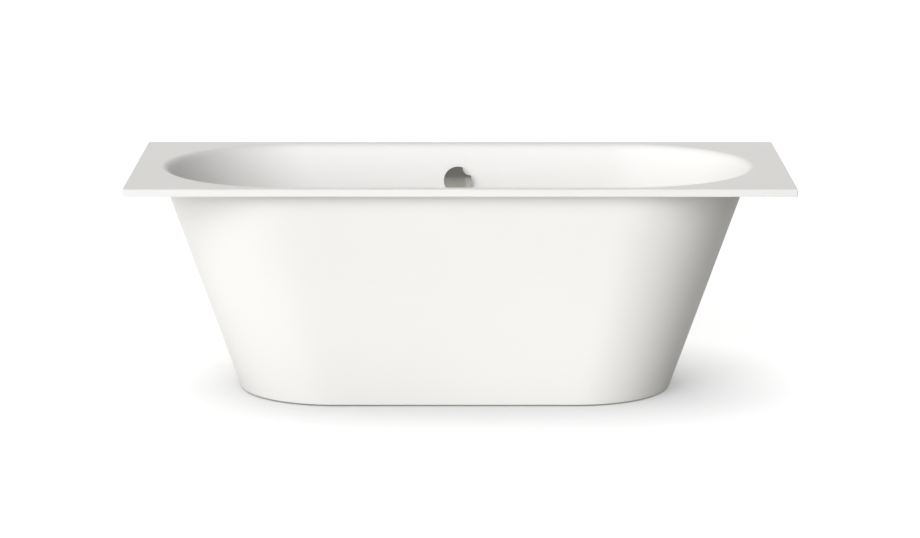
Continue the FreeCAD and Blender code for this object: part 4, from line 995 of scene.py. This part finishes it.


# Painted shadow: ambient occlusion near the bath dims the floor's white glow; the grey diffuse part adds the
# real shadow.
nearby = add_node(tree, "AmbientOcclusion", {"Distance": shadow_reach}, samples=16)
glow_with_painted_shadow = add_node(tree, "MapRange", {"Value": nearby.outputs["AO"], "To Min": 0.03, "To Max": 0.76})
glow = add_node(tree, "Emission", {"Strength": glow_with_painted_shadow.outputs["Result"]})
shaded = add_node(tree, "BsdfDiffuse", {"Color": (0.45, 0.45, 0.45, 1)})
shown = add_node(tree, "AddShader", {0: glow.outputs[0], 1: shaded.outputs[0]})
place = add_node(tree, "NewGeometry").outputs
board_light = (0, 0, 0)
for board in boards:
    away = add_node(tree, "VectorMath", {0: place["Position"], 1: board["middle"]}, operation="DISTANCE")
    board_light = soft_light(tree, away.outputs["Value"], board, board_light)
bounced = add_node(tree, "Emission", {"Color": board_light, "Strength": 1})
split = add_node(tree, "MixShader", {0: background_rays(tree), 1: bounced.outputs[0], 2: shown.outputs[0]})
clear = add_node(tree, "BsdfTransparent")
from_below = add_node(tree, "MixShader", {0: place["Backfacing"], 1: split.outputs[0], 2: clear.outputs[0]})
tree.links.new(from_below.outputs[0], tree.nodes["Material Output"].inputs["Surface"])


def add_sheet(name, corners, finish):
    """A flat sheet of the studio, which is no piece of the bath."""
    sheet = bpy.data.meshes.new(name)
    sheet.from_pydata(corners, [], [(0, 1, 2, 3)])
    sheet.materials.append(finish)
    piece = bpy.data.objects.new(name, sheet)
    scene.collection.objects.link(piece)
    return piece


add_sheet("studio_floor", [(-floor_half, -floor_half, 0), (floor_half, -floor_half, 0),
                           (floor_half, floor_half, 0), (-floor_half, floor_half, 0)], studio_floor)

# Studio light: one large soft lamp at the front left, weaker ones at the left, rear left and rear.
# The camera and polished metal see a plain white room in their place.
room_light = (0.02, 0.019, 0.017)
lamps = [{"from": (-0.278, -0.909, 0.309), "edge": 0.75, "core": 0.97, "colour": (4.53, 4.56, 4.61)},
         {"from": (-0.983, -0.173, 0.052), "edge": 0.6, "core": 0.95, "colour": (0.3, 0.3, 0.3)},
         {"from": (-0.785, 0.366, 0.5), "edge": 0.5, "core": 0.9, "colour": (0.85, 0.83, 0.795)},
         {"from": (0, 0.97, 0.24), "edge": 0.5, "core": 0.95, "colour": (1.1, 1.09, 1.06)}]
world = bpy.data.worlds.new("Studio light")
world.use_nodes = True
scene.world = world
tree = world.node_tree
looking = add_node(tree, "TexCoord").outputs["Generated"]
light = room_light
for lamp in lamps:
    toward = add_node(tree, "VectorMath", {0: looking, 1: lamp["from"]}, operation="DOT_PRODUCT")
    light = soft_light(tree, toward.outputs["Value"], lamp, light)
lighting = tree.nodes["Background"]
lighting.inputs["Strength"].default_value = 1
tree.links.new(light, lighting.inputs["Color"])
white = add_node(tree, "Background", {"Color": (1, 1, 1, 1), "Strength": 1})
split = add_node(tree, "MixShader", {0: background_rays(tree), 1: lighting.outputs[0], 2: white.outputs[0]})
tree.links.new(split.outputs[0], tree.nodes["World Output"].inputs["Surface"])

# Canopy: grey cloth over the bath that hangs down in front of it and is paler at its right.
# Only polished metal mirrors it; the camera looks through it, and it neither lights nor shades.
canopy_half = 5
canopy_near = -7.7
canopy_far = 4
canopy_low = 1.2
canopy_top = 3.4
roof_grey = 0.155
canopy_cloth = bpy.data.materials.new("Grey canopy")
canopy_cloth.use_nodes = True
tree = canopy_cloth.node_tree
tree.nodes.remove(tree.nodes["Principled BSDF"])
place = add_node(tree, "SeparateXYZ", {"Vector": add_node(tree, "TexCoord").outputs["Object"]}).outputs
drop = add_node(tree, "MapRange", {"Value": place["Z"], "From Min": 2.6, "From Max": canopy_top,
                                   "To Min": 0.4, "To Max": 0.24})
strip = add_node(tree, "MapRange", {"Value": place["X"], "From Min": 0.55, "From Max": 0.7, "To Max": 0.16})
under = add_node(tree, "Math", {0: place["Z"], 1: canopy_top - 0.01}, operation="LESS_THAN")
front = add_node(tree, "Math", {0: strip.outputs["Result"], 1: under.outputs[0], 2: drop.outputs["Result"]},
                 operation="MULTIPLY_ADD")
grey = add_node(tree, "Mix", {"Factor": under.outputs[0], 2: roof_grey, 3: front.outputs[0]})
glow = add_node(tree, "Emission", {"Color": (1, 0.975, 0.88, 1), "Strength": grey.outputs[0]})
tree.links.new(glow.outputs[0], tree.nodes["Material Output"].inputs["Surface"])
near_edge = [(-canopy_half, canopy_near, canopy_top), (canopy_half, canopy_near, canopy_top)]
far_edge = [(canopy_half, canopy_far, canopy_top), (-canopy_half, canopy_far, canopy_top)]
low_edge = [(-canopy_half, canopy_near, canopy_low), (canopy_half, canopy_near, canopy_low)]
roof = add_sheet("canopy_roof", near_edge + far_edge, canopy_cloth)
drape = add_sheet("canopy_front", low_edge + near_edge[::-1], canopy_cloth)
for piece in (roof, drape):
    for kind in ("camera", "diffuse", "transmission", "volume_scatter", "shadow"):
        setattr(piece, f"visible_{kind}", False)

# Camera: the place, tilt and focal length that were worked out from the deck corners in the photo.
# It stands in the middle of the bath's length and looks down on it a little.
view = bpy.data.cameras.new("camera")
view.sensor_width = 36
view.lens = 132.8
camera = bpy.data.objects.new("camera", view)
camera.location = (0, -8.776, 2.071)
camera.rotation_euler = (math.radians(78.66), 0, 0)
scene.collection.objects.link(camera)
scene.camera = camera
scene.view_settings.view_transform = "Standard"
